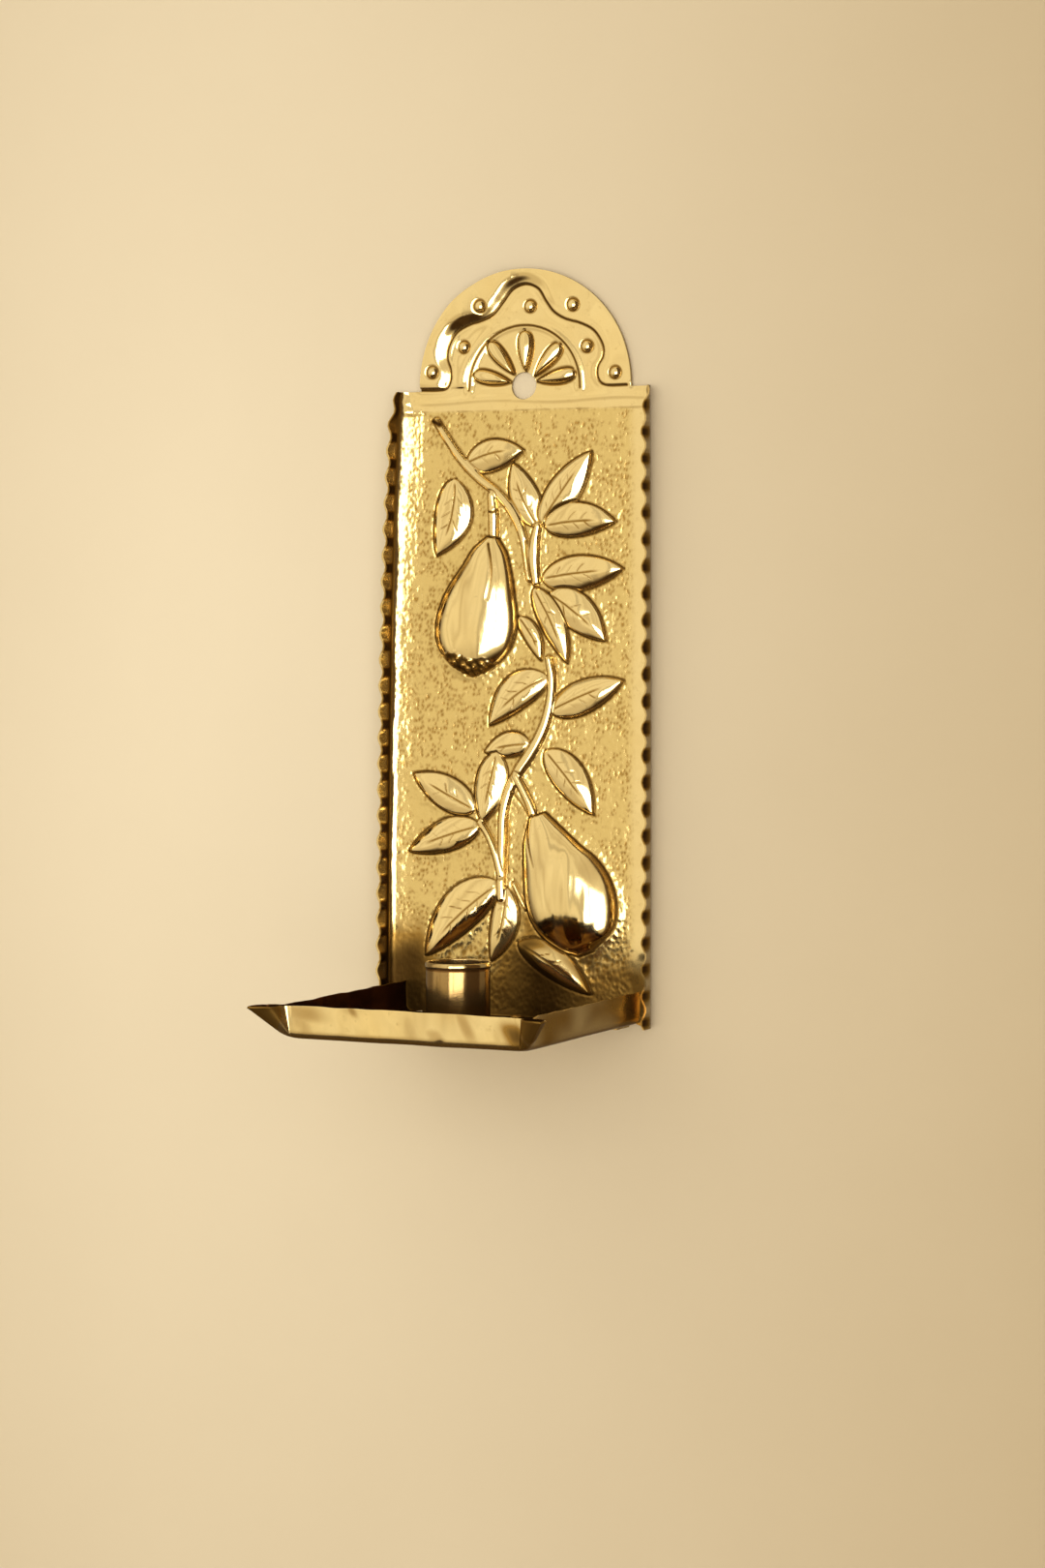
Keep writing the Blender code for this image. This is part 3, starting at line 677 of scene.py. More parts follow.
# Painted shade and a painted dark reflection of the tray: the plate darkened above the tray, most behind the
# candle socket and at the tray's left end, but not the highest work
lowShade = {
    "start": -208.0, "full": -230.0,
    "strength": 0.52, "most": 0.96,
    "candle": 0.46, "candlePlace": 9, "candleSpread": 17,
    "leftEnd": 0.42,
}
fromCandle = (gridX - lowShade["candlePlace"]) / lowShade["candleSpread"]
paintedLowShade = lowShade["strength"] + lowShade["candle"] * np.exp(-fromCandle ** 2)
paintedLowShade += lowShade["leftEnd"] * smoothStep(-30, -48, gridX)
lowShadeLine = gridZ + 5 * valueNoise(gridX, gridZ, 7.0, 51) - 14 * np.exp(-((gridX - 3) / 8) ** 2)
lowShadeLine += 9 * smoothStep(-12, -26, gridX) - 17 * smoothStep(-32, -46, gridX)
paintedLowShade *= smoothStep(lowShade["start"], lowShade["full"], lowShadeLine) * (1 - 0.8 * smoothStep(1.3, 2.3, height))
paintedLowShade = np.clip(paintedLowShade, 0, lowShade["most"])
backRise = blurred(np.clip(lowered(height, 2.0), 0, None), 0.8)
print("height map finished:", height.shape)


def readMap(field, x, z):
    # The map's value at any place, blended between the four nearest cells
    u = np.clip((x - chasing["left"]) / chasing["cell"], 0, field.shape[1] - 1.001)
    v = np.clip((z - chasing["bottom"]) / chasing["cell"], 0, field.shape[0] - 1.001)
    i, j = u.astype(int), v.astype(int)
    fu, fv = u - i, v - j
    low = field[j, i] * (1 - fu) + field[j, i + 1] * fu
    high = field[j + 1, i] * (1 - fu) + field[j + 1, i + 1] * fu
    return low * (1 - fv) + high * fv


# The back plate's sheet, in millimetres; its outline repeats the part's own sizes

plate = {
    "sheet": 0.7,
    "halfWidth": (52.4, 53.6),       # left and right at the top; so for flare and bend
    "flare": (6.8, 0.9),
    "flareLength": 84.0,
    "bend": (7.2, 4.2),
    "bottomBend": 3.6,
    "flangeDepth": 9.4, "flangeTopDepth": 5.2, "flangeTopRun": 12.5, "straightMin": 1.5,
    "panelTop": -1.3,
    "crestRadius": 44.2, "crestCentre": 0.6,
    "holeRadius": 5.2,
    "crimps": 24, "crimpHeight": 0.85,
    "lapBend": 2.0, "lapDepth": 13.0,
    "columns": (12, 16, 16, 212, 12, 12, 12),   # flange, bend, margin, middle, margin, bend, flange
    "crestRows": 164, "neckRows": 4, "bandRows": 20, "panelRows": 552, "lapBendRows": 8, "lapRows": 12,
    "backStep": 4,                   # the back skin has one cell for this many of the front's, each way
    "bandEnd": -9.5,
    "faceLevel": 0.25,               # the smooth band lies this far out from the plain sheet
    "leftSwell": (1.5, 0.85),        # the left side's loose bend, at the top and at the bottom
    "thinnest": 0.18,                # least thickness left between the skins
    # Painted shade on the flanges: nearly dark on the left, lighter on the right
    "leftFlangeShade": 0.97, "rightFlangeShade": 0.35,           # on the flanges
}
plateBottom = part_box("back_plate")[0].z / mm
crimpPitch = (plate["panelTop"] - plateBottom) / plate["crimps"]


def halfWidthAt(below, key):
    # Half width at the top + flare x (1 - exp(height / flare length)), heights being below zero
    return plate["halfWidth"][key] + plate["flare"][key] * (1 - np.exp(below / plate["flareLength"]))


def sheetSide(side, middleZ, sideZ, rowY):
    # One side of the back skin, outwards from the middle: flat margin, bend and crimped flange.
    # Returns its points, its forward normals and the distance out from the foot of the bend.
    p = plate
    key = 0 if side < 0 else 1
    below = np.minimum(sideZ, p["panelTop"])
    half = halfWidthAt(below, key)
    run = np.minimum((p["panelTop"] - below) / p["flangeTopRun"], 1)
    deep = p["flangeTopDepth"] + (p["flangeDepth"] - p["flangeTopDepth"]) * run
    bend = p["bottomBend"] + (p["bend"][key] - p["bottomBend"]) * np.exp(below / p["flareLength"])
    bend = np.minimum(bend, deep - p["straightMin"])
    half, deep, bend = half[:, None], deep[:, None], bend[:, None]
    foot = half - bend
    flange, arc, margin = p["columns"][:3] if side < 0 else p["columns"][:3:-1]
    inner = p["crestRadius"] + side * p["crestCentre"]
    wave = p["crimpHeight"] * np.sin(2 * math.pi * (p["panelTop"] - sideZ) / crimpPitch)[:, None]

    def crimped(x, y):
        # The outer half of the flange swings by the wave, more and more towards its free edge
        return x + wave * np.clip((-y - deep / 2) / (deep / 2), 0, 1)

    t = np.linspace(0, 1, margin + 1)[None, 1:]
    marginX = inner + (foot - inner) * t
    marginY = rowY[:, None] * (1 - t)
    marginZ = middleZ[:, None] + (sideZ - middleZ)[:, None] * t
    angle = np.linspace(0, math.pi / 2, arc + 1)[None, 1:]
    arcY = -bend * (1 - np.cos(angle))
    arcX = crimped(foot + bend * np.sin(angle), arcY)
    t = np.linspace(0, 1, flange + 1)[None, 1:]
    flangeY = -bend - (deep - bend) * t
    flangeX = crimped(half, flangeY)
    away = np.hstack([marginX - foot, bend * angle, bend * math.pi / 2 + (deep - bend) * t])
    x = side * np.hstack([marginX, arcX, flangeX])
    y = np.hstack([marginY, arcY, flangeY])
    z = np.hstack([marginZ, np.repeat(sideZ[:, None], arc + flange, 1)])
    flat, upright = np.zeros_like(marginX), np.full(flangeX.shape, math.pi / 2)
    lean = np.hstack([flat, np.repeat(angle, len(sideZ), 0), upright])
    normal = np.stack([-side * np.sin(lean), -np.cos(lean), np.zeros_like(lean)], -1)
    return np.stack([x, y, z], -1), normal, away


def sheetGrid():
    # Rows run down the plate and columns across it, from one flange's free edge to the other's
    p = plate
    down = 1 - np.linspace(0, 1, p["crestRows"] + 1)[:-1]
    crestZ = p["crestRadius"] * np.sin(np.radians(89.0) * down)
    neckZ = np.linspace(0, p["panelTop"], p["neckRows"] + 1)[:-1]
    bandZ = np.linspace(p["panelTop"], p["bandEnd"], p["bandRows"] + 1)[:-1]
    middleEnd = plateBottom + p["lapBend"]
    panelZ = np.linspace(p["bandEnd"], middleEnd, p["panelRows"] + 1)
    turn = np.linspace(0, math.pi / 2, p["lapBendRows"] + 1)[1:]
    lapZ = np.append(middleEnd - p["lapBend"] * np.sin(turn), np.full(p["lapRows"], plateBottom))
    lapY = np.append(-p["lapBend"] * (1 - np.cos(turn)),
                     -np.linspace(p["lapBend"], p["lapDepth"], p["lapRows"] + 1)[1:])
    middleZ = np.concatenate([crestZ, neckZ, bandZ, panelZ, lapZ])
    rowY = np.concatenate([np.zeros(len(middleZ) - len(lapY)), lapY])
    lapTurn = np.concatenate([np.zeros(len(middleZ) - len(lapY)), turn, np.full(p["lapRows"], math.pi / 2)])
    share = np.clip((p["panelTop"] - middleZ) / (p["panelTop"] - middleEnd), 0, 1)
    sideZ = np.where(middleZ > p["panelTop"], middleZ, p["panelTop"] + (plateBottom - p["panelTop"]) * share)
    chord = np.sqrt(np.clip(p["crestRadius"] ** 2 - middleZ ** 2, 0.5, None))
    reach = np.where(middleZ > 0, chord, p["crestRadius"])
    left, right = (sheetSide(side, middleZ, sideZ, rowY) for side in (-1, 1))
    x = p["crestCentre"] + reach[:, None] * np.linspace(-1, 1, p["columns"][3] + 1)[None, :]
    middle = np.stack(np.broadcast_arrays(x, rowY[:, None], middleZ[:, None]), -1)
    normal = np.zeros_like(middle)
    normal[..., 1] = -np.cos(lapTurn)[:, None]
    normal[..., 2] = np.sin(lapTurn)[:, None]
    footLeft = halfWidthAt(np.minimum(sideZ, p["panelTop"]), 0) - p["bend"][0] * 0.8
    farAway = np.full(right[2].shape, -99.0)
    points = np.concatenate([left[0][:, ::-1], middle, right[0]], 1)
    normals = np.concatenate([left[1][:, ::-1], normal, right[1]], 1)
    away = np.concatenate([left[2][:, ::-1], -x - footLeft[:, None], farAway], 1)
    return points, normals, away


def pierce(points):
    # Opens the hanging hole: square rings of cells round it are drawn out into circles, less and less
    # further out. Returns the moved grid and which coarse cells are removed.
    x, z = points[..., 0], points[..., 2]
    step = plate["backStep"]
    size = plate["holeRadius"] * 0.86
    reach = 2.3                      # the rings are moved out to this many times the square's half side
    middleColumn = sum(plate["columns"][:3]) + plate["columns"][3] // 2
    columnX = points[plate["crestRows"], ::step, 0]
    rowZ = points[::step, middleColumn, 2]
    leftIndex, rightIndex = np.argmin(np.abs(columnX + size)), np.argmin(np.abs(columnX - size))
    topIndex, bottomIndex = np.argmin(np.abs(rowZ - size)), np.argmin(np.abs(rowZ + size))
    a = np.where(x < 0, x / -columnX[leftIndex], x / columnX[rightIndex])
    b = np.where(z < 0, z / -rowZ[bottomIndex], z / rowZ[topIndex])
    m = np.maximum(np.abs(a), np.abs(b))
    circle = plate["holeRadius"] * m / np.maximum(np.hypot(a, b), 1e-6)
    blend = smoothStep(1.0, reach, m)
    moved = points.copy()
    moved[..., 0] = np.where(m < reach, circle * a * (1 - blend) + x * blend, x)
    moved[..., 2] = np.where(m < reach, circle * b * (1 - blend) + z * blend, z)
    return moved, (topIndex, bottomIndex, leftIndex, rightIndex)


def cellNormals(points, kept):
    # Each cell's normal is the cross product of its diagonals; a point's is the sum of its cells'
    cells = np.cross(points[1:, 1:] - points[:-1, :-1], points[1:, :-1] - points[:-1, 1:]) * kept[..., None]
    total = np.zeros_like(points)
    for rows in (slice(0, -1), slice(1, None)):
        for columns in (slice(0, -1), slice(1, None)):
            total[rows, columns] += cells
    return total / np.maximum(np.linalg.norm(total, axis=-1, keepdims=True), 1e-12)


def quads(index, kept):
    # The four corners of every kept cell of a grid of vertex numbers
    r, c = np.nonzero(kept)
    return np.stack([index[r, c], index[r + 1, c], index[r + 1, c + 1], index[r, c + 1]], 1)


def edgeWalls(frontIndex, backIndex, kept, step):
    # One face for each open side of a kept coarse cell: along the front skin and back along the back skin
    walls = []
    padded = np.pad(kept, 1)
    run = np.arange(step + 1)
    for dr, dc in ((-1, 0), (1, 0), (0, -1), (0, 1)):
        r, c = np.nonzero(kept & ~padded[1 + dr:1 + dr + kept.shape[0], 1 + dc:1 + dc + kept.shape[1]])
        if dr:
            line = r + (dr > 0)
            edge = frontIndex[(line * step)[:, None], (c * step)[:, None] + run]
            ends = np.stack([backIndex[line, c + 1], backIndex[line, c]], 1)
        else:
            line = c + (dc > 0)
            edge = frontIndex[(r * step)[:, None] + run, (line * step)[:, None]]
            ends = np.stack([backIndex[r + 1, line], backIndex[r, line]], 1)
        wall = np.hstack([edge, ends])
        walls.append(wall[:, ::-1] if (dr > 0 or dc < 0) else wall)
    return np.vstack(walls)


def sheetMesh(name, front, back, frontNormal, backNormal, kept, fields, step):
    # Both skins of a sheet and the walls round its edges. kept says which coarse cells are there; each
    # coarse cell has step x step cells of the front skin and one of the back skin.
    frontIndex = np.arange(front[..., 0].size).reshape(front.shape[:2])
    backIndex = frontIndex.size + np.arange(back[..., 0].size).reshape(back.shape[:2])
    frontFaces = quads(frontIndex, np.kron(kept, np.ones((step, step), int)))
    backFaces = quads(backIndex, kept)[:, [0, 3, 2, 1]]
    walls = edgeWalls(frontIndex, backIndex, kept, step)
    positions = np.vstack([front.reshape(-1, 3), back.reshape(-1, 3)])
    corners = np.concatenate([frontFaces.ravel(), backFaces.ravel(), walls.ravel()])
    sizes = np.repeat((4, step + 3), (len(frontFaces) + len(backFaces), len(walls)))
    used, corners = np.unique(corners, return_inverse=True)
    mesh = bpy.data.meshes.new(name)
    mesh.vertices.add(len(used))
    mesh.vertices.foreach_set("co", (positions[used] * mm).ravel())
    mesh.loops.add(len(corners))
    mesh.loops.foreach_set("vertex_index", corners.astype(np.int32))
    mesh.polygons.add(len(sizes))
    starts = np.concatenate([[0], np.cumsum(sizes)[:-1]])
    mesh.polygons.foreach_set("loop_start", starts.astype(np.int32))
    mesh.update(calc_edges=True)
    mesh.validate()
    mesh.polygons.foreach_set("use_smooth", np.ones(len(sizes), bool))
    a, b, c = positions[walls[:, 0]], positions[walls[:, step]], positions[walls[:, step + 1]]
    wallNormal = np.cross(b - a, c - b)
    wallNormal /= np.maximum(np.linalg.norm(wallNormal, axis=1, keepdims=True), 1e-12)
    normals = np.vstack([frontNormal.reshape(-1, 3)[frontFaces.ravel()],
                         backNormal.reshape(-1, 3)[backFaces.ravel() - frontIndex.size],
                         np.repeat(wallNormal, step + 3, 0)])
    mesh.normals_split_custom_set(normals)
    for key, (frontField, backField) in fields.items():
        floatField(mesh, key, np.concatenate([frontField.ravel(), backField.ravel()])[used])
    return mesh


def plateTarnishAndShade(x, y, z, flat, fade):
    # The chased face keeps its own tarnish and the painted low shade; the left flange is painted dark, a
    # painted dark reflection, but for painted highlights on its crimps' crowns, and on the right flange's
    # outside the hollow of each crimp holds painted shade, most at the free edge
    upright = smoothStep(0.75, 0.15, flat)
    onFace = np.maximum(readMap(tarnishAndShade, x, z) * fade, readMap(paintedLowShade, x, z) * smoothStep(0.3, 0.7, flat))
    flange = upright * np.where(x < 0, plate["leftFlangeShade"], plate["rightFlangeShade"])
    front = np.maximum(onFace, flange)
    hollow = 0.5 + 0.5 * np.sin(2 * math.pi * (plate["panelTop"] - z) / crimpPitch)
    # Painted highlight: the left flange's crimp crowns kept bright near the free edge
    crownHighlight = smoothStep(-3.8, -6.2, y) * smoothStep(0.15, 0.5, hollow) * smoothStep(-8.0, -24.0, z)
    front = np.where(x < 0, front * (1 - 0.86 * crownHighlight), front)
    # Painted shade in the right flange's crimp hollows
    hollowShade = smoothStep(0.40, 0.75, 1 - hollow) * smoothStep(-2.5, -7.0, y)
    return front, 0.20 + 0.74 * hollowShade * (x > 0)


def keptCells(rows, columns, hole):
    # The coarse cells of the sheet: no sides along the crest and along the lap, and the hanging hole
    step = plate["backStep"]
    top, bottom, left, right = hole
    kept = np.ones((rows, columns), bool)
    sideLeft = sum(plate["columns"][:3]) // step
    sideRight = columns - sum(plate["columns"][4:]) // step
    neck = (plate["crestRows"] + plate["neckRows"]) // step
    lap = rows - (plate["lapBendRows"] + plate["lapRows"]) // step
    for part in (slice(None, neck), slice(lap, None)):
        kept[part, :sideLeft] = kept[part, sideRight:] = False
    kept[top:bottom, left:right] = False
    return kept


def buildPlate():
    # Front skin: back skin + forward normal x (sheet thickness + height map). The back of the raised work
    # is hollow: its skin follows the map's rise, less deep, and never nearer the front than the thinnest.
    step = plate["backStep"]
    base, normal, away = sheetGrid()
    base, hole = pierce(base)
    x, y, z = np.moveaxis(base, -1, 0)
    flat = np.clip(-normal[..., 1], 0, 1)
    fade = smoothStep(0.35, 0.98, flat) * smoothStep(plateBottom + 1.5, plateBottom + 5.0, z)
    atTop, atBottom = plate["leftSwell"]
    swell = atTop + (atBottom - atTop) * np.clip(-z / 240.0, 0, 1)
    swell = swell * np.exp(-((away - 3.0) / 6.5) ** 2) * smoothStep(-1.0, -14.0, z) * (away > -40)
    rise = (readMap(height, x, z) + plate["faceLevel"]) * fade + swell
    offset = np.maximum(plate["sheet"] + rise, plate["thinnest"])
    front = base + normal * offset[..., None]
    under = np.clip(readMap(backRise, x, z) * fade + swell - 0.25, 0, offset - plate["thinnest"])
    back = (base + normal * under[..., None])[::step, ::step]
    rows, columns = back.shape[0] - 1, back.shape[1] - 1
    kept = keptCells(rows, columns, hole)
    frontNormal = cellNormals(front, np.kron(kept, np.ones((step, step), int)))
    backNormal = -cellNormals(back, kept)
    facing = np.sign((frontNormal * normal).sum(-1).mean())
    frontNormal, backNormal = frontNormal * facing, backNormal * facing
    frontTarnishAndShade, backTarnishAndShade = plateTarnishAndShade(x, y, z, flat, fade)
    fields = {
        "tarnishAndShade": (frontTarnishAndShade, backTarnishAndShade[::step, ::step]),
        "ground": (readMap(punched, x, z) * fade, np.zeros(back.shape[:2])),
    }
    bandEnd = (plate["crestRows"] + plate["neckRows"] + plate["bandRows"]) // step
    half = bandEnd + plate["panelRows"] // step // 2
    cuts = (("plateCrest", 0, bandEnd), ("platePanelUpper", bandEnd, half), ("platePanelLower", half, rows))
    for name, first, last in cuts:
        fr, ba = slice(first * step, last * step + 1), slice(first, last + 1)
        part = {key: (f[fr], b[ba]) for key, (f, b) in fields.items()}
        skins = (front[fr], back[ba], frontNormal[fr], backNormal[ba])
        mesh = sheetMesh(name, *skins, kept[first:last], part, step)
        makeObject(name, mesh, plateBrass, "back_plate")
        print("plate piece", name, len(mesh.polygons), "faces")


plateBrass = brassMaterial("chasedBrass", ("tarnishAndShade", "ground"), (1.0, 1.0, 0.25))
buildPlate()

# The drip tray, in millimetres; its outline repeats the part's own sizes

tray = {
    "sheet": 0.7,
    "left": -49.7, "right": 48.8,    # the side rims' insides
    "reach": 99.9, "bend": 2.6, "corner": 4.2,
    "earLength": 13.6, "earGap": 1.8, "earBelly": 3.8,
    "sideSteps": 90, "earSteps": 10, "frontSteps": 150,
    "floorSteps": 14, "bendSteps": 8, "wallSteps": 14,
    # Dents in the front rim: place across, height over the floor, width, tallness, depth
    "dents": [(-22.0, 8.5, 5.0, 3.5, 0.5), (15.0, 1.2, 1.5, 1.0, 0.5), (-38.0, 7.0, 5.0, 5.0, 0.35)],
    # Darker patches on the front rim: place across, height, width, tallness, strength
    "marks": [(45.0, 5.0, 4.5, 4.5, 0.86), (-40.0, 9.0, 8.0, 3.2, 0.34), (-41.0, 4.0, 3.5, 6.0, 0.26),
              (25.0, 7.5, 2.6, 6.0, 0.34), (-21.0, 11.0, 1.6, 2.6, 0.38), (13.0, 3.4, 3.4, 2.4, 0.28)],
    "edgeBreak": 0.16,
}
trayLow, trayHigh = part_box("drip_tray")
trayBrass = brassMaterial("trayBrass", ("outside",), (0.3, 1.0, 1.0), age=0.7, streak=0.36)
trayInside = brassMaterial("trayInside", ("tarnishAndShade",), (0.3, 1.0, 1.0), redFinish, 1.0)


def trayCorner(side, width):
    # Foot and rim of the wall round one front corner, from the side rim to the front rim. The foot is a
    # quarter circle and the rim runs out along the diagonal and back, which makes the pinched ear.
    p = tray
    leave = p["corner"] + p["earGap"]
    gap, length, belly = p["earGap"], p["earLength"], p["earBelly"]
    outline = [(-leave, -leave), (-gap, -gap * 1.6), (gap * 0.6, -gap), (length * 0.45, -belly),
               (length * 0.8, -belly * 0.6), (length, 0.0)]
    half = curveThrough(outline, p["earSteps"])
    local = np.vstack([half, half[::-1][1:] * (1, -1)])
    corner = np.array([side * width / 2, -p["reach"]])
    diagonal = np.array([side, -1.0]) / math.sqrt(2)
    across = np.array([1.0, side]) / math.sqrt(2)
    rim = corner + np.outer(local[:, 0], diagonal) + np.outer(local[:, 1] * -side, across)
    centre = corner + np.array([-side, 1.0]) * p["corner"]
    turn = np.linspace(0, math.pi / 2, len(local))
    foot = centre + p["corner"] * np.column_stack([side * np.cos(turn), -np.sin(turn)])
    foot[0] = (corner[0], rim[0][1])
    foot[-1] = (rim[-1][0], corner[1])
    return foot, rim


def between(first, last, steps):
    t = np.linspace(0, 1, steps + 1)[1:-1, None]
    return first * (1 - t) + last * t


def trayPaths(width, back):
    # Foot and rim all round: up the left side, along the front and back down the right side
    p = tray
    start, end = np.array([-width / 2, back]), np.array([width / 2, back])
    paths = []
    for left, right in zip(trayCorner(-1, width), trayCorner(1, width)):
        right = right[::-1]
        paths.append(np.vstack([start, between(start, left[0], p["sideSteps"]), left,
                                between(left[-1], right[0], p["frontSteps"]), right,
                                between(right[-1], end, p["sideSteps"]), end]))
    return paths


def trayGrid(width, back, insideHeight):
    # Inner skin: wall points are foot + (rim - foot) x height, with a round bend at the floor and, inside
    # that, straight lines in to a spine down the middle of the floor
    p = tray
    foot, rim = trayPaths(width, back)
    middle = np.array([0.0, -p["reach"] / 2])
    room = np.array([width / 2, p["reach"] / 2])
    inset = middle + (foot - middle) * (1 - p["bend"] / room)
    inset[0, 1] = inset[-1, 1] = back
    spineEnd = -p["reach"] + width * 0.32
    spine = np.column_stack([np.zeros(len(inset)), np.maximum(inset[:, 1], spineEnd)])
    layers = [(spine + (inset - spine) * t, 0.0) for t in np.linspace(0, 1, p["floorSteps"] + 1)]
    for angle in np.linspace(0, math.pi / 2, p["bendSteps"] + 1)[1:]:
        rise = p["bend"] * (1 - math.cos(angle))
        layers.append((inset + (foot - inset) * math.sin(angle) + (rim - foot) * rise / insideHeight, rise))
    for rise in np.linspace(p["bend"], insideHeight, p["wallSteps"] + 1)[1:]:
        layers.append((foot + (rim - foot) * rise / insideHeight, rise))
    return np.stack([np.column_stack([flat, np.full(len(flat), rise)]) for flat, rise in layers])


def handMarks(grid, width, insideHeight):
    # Dents, slow waves along the rims and an uneven top edge, moved into the grid in place
    p = tray
    x, y, z = np.moveaxis(grid, -1, 0)
    onFront = smoothStep(-p["reach"] + 3.0, -p["reach"] + 0.6, y)
    onFront *= smoothStep(width / 2 - 2, width / 2 - 9, np.abs(x))
    for dentX, dentZ, dentWidth, dentTall, depth in p["dents"]:
        y += depth * onFront * np.exp(-((x - dentX) / dentWidth) ** 2 - ((z - dentZ) / dentTall) ** 2)
    onSide = smoothStep(width / 2 - 1.0, width / 2 - 0.2, np.abs(x))
    onSide *= smoothStep(-p["reach"] + 9, -p["reach"] + 16, y)
    x += np.sign(x) * onSide * 0.22 * valueNoise(y, z * 2, 9.0, 5) * smoothStep(1.0, 6.0, z)
    slow = 0.55 * valueNoise(x + 0.8 * z, z * 0.3, 12.0, 8)
    y += onFront * (slow + 0.14 * valueNoise(x, z * 0.6, 5.0, 9))
    z += 0.10 * valueNoise(x, y, 14.0, 2) * smoothStep(2.0, 0.0, z)
    z -= smoothStep(insideHeight - 1.0, insideHeight, z) * (0.25 + 0.22 * valueNoise(x, y, 7.0, 6))


def trayTarnishAndShade(grid, width):
    # Inside: darker on the rims and along the back, lighter out on the floor. Outside: painted shade along
    # the bottom bend, brown sides and ears, and darker patches on the front.
    p = tray
    x, y, z = np.moveaxis(grid, -1, 0)
    fromRim = np.minimum(width / 2 - np.abs(x), y + p["reach"])
    onFloor = 0.72 + 0.2 * smoothStep(16.0, 2.0, fromRim) + 0.3 * smoothStep(-26.0, -6.0, y)
    onFloor += 0.16 * valueNoise(x, y, 8.0, 91) + 0.10 * valueNoise(x, y, 3.0, 92)
    inside = np.maximum(onFloor, 0.88 * smoothStep(0.6, 3.0, z))
    brown = 0.36 + 0.16 * valueNoise(y, z * 1.6, 14.0, 93) + 0.2 * smoothStep(-34, -12, y)
    outside = brown * smoothStep(width / 2 - 2.5, width / 2 - 0.5, np.abs(x))
    beyond = np.maximum(np.abs(x) - width / 2, 0) + np.maximum(-y - p["reach"], 0)
    outside = np.maximum(outside, 0.62 * smoothStep(1.5, 4.5, beyond))
    # Painted shade along the bottom bend
    outside = np.maximum(outside, 0.50 * np.exp(-((z - 0.9) / 0.8) ** 2))
    for markX, markZ, markWidth, markTall, strength in p["marks"]:
        sideways = ((x - markX + 0.5 * (z - markZ)) / markWidth) ** 2
        mark = np.exp(-sideways ** 1.5 - (((z - markZ) / markTall) ** 2) ** 1.5)
        outside = np.maximum(outside, strength * mark * (y < -p["reach"] + 4))
    return np.clip(inside, 0, 0.95), np.clip(outside, 0, 0.92)


def mergedMesh(mesh, distance, shortest=0.0):
    # Doubled points joined, edges under the shortest taken out, then every face turned outwards
    bm = bmesh.new()
    bm.from_mesh(mesh)
    bmesh.ops.remove_doubles(bm, verts=bm.verts[:], dist=distance)
    if shortest:
        bmesh.ops.dissolve_degenerate(bm, edges=bm.edges[:], dist=shortest)
    bmesh.ops.recalc_face_normals(bm, faces=bm.faces[:])
    return bm


def buildTray():
    # One skin, the tray's inside, that Solidify gives its thickness outwards
    p = tray
    floorTop = trayLow.z / mm + p["sheet"]
    insideHeight = trayHigh.z / mm - floorTop
    width = p["right"] - p["left"]
    grid = trayGrid(width, trayHigh.y / mm, insideHeight)
    handMarks(grid, width, insideHeight)
    inside, outside = trayTarnishAndShade(grid, width)
    points = grid + ((p["left"] + p["right"]) / 2, 0, floorTop)
    index = np.arange(points[..., 0].size).reshape(points.shape[:2])
    faces = quads(index, np.ones(np.subtract(index.shape, 1), bool))
    mesh = bpy.data.meshes.new("dripTray")
    mesh.from_pydata((points.reshape(-1, 3) * mm).tolist(), [], faces.tolist())
    floatField(mesh, "tarnishAndShade", inside)
    floatField(mesh, "outside", outside)
    bm = mergedMesh(mesh, 0.002 * mm, 0.001 * mm)
    floorFace = min(bm.faces, key=lambda face: face.calc_center_median().z)
    if floorFace.normal.z > 0:
        bmesh.ops.reverse_faces(bm, faces=bm.faces[:])
    bm.to_mesh(mesh)
    bm.free()
    mesh.shade_smooth()
    piece = makeObject("dripTray", mesh, trayBrass, "drip_tray")
    mesh.materials.append(trayInside)
    shell = piece.modifiers.new("Sheet", "SOLIDIFY")
    shell.thickness = p["sheet"] * mm
    shell.offset = 1.0
    shell.use_even_offset = True
    shell.material_offset = 1
    edge = piece.modifiers.new("EdgeBreak", "BEVEL")
    edge.width = p["edgeBreak"] * mm
    edge.segments = 2
    edge.limit_method = "ANGLE"
    edge.angle_limit = math.radians(60)
    print("tray", len(mesh.polygons), "faces")


buildTray()

# Turned pieces: the socket, the rivets and the burr


def boxPlace(node):
    # Middle of a CAD part's box across and in depth, its half width, underside and top, in millimetres
    low, high = (np.array(corner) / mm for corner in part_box(node))
    middle = (low + high) / 2
    return middle[:2], (high[0] - low[0]) / 2, low[2], high[2]


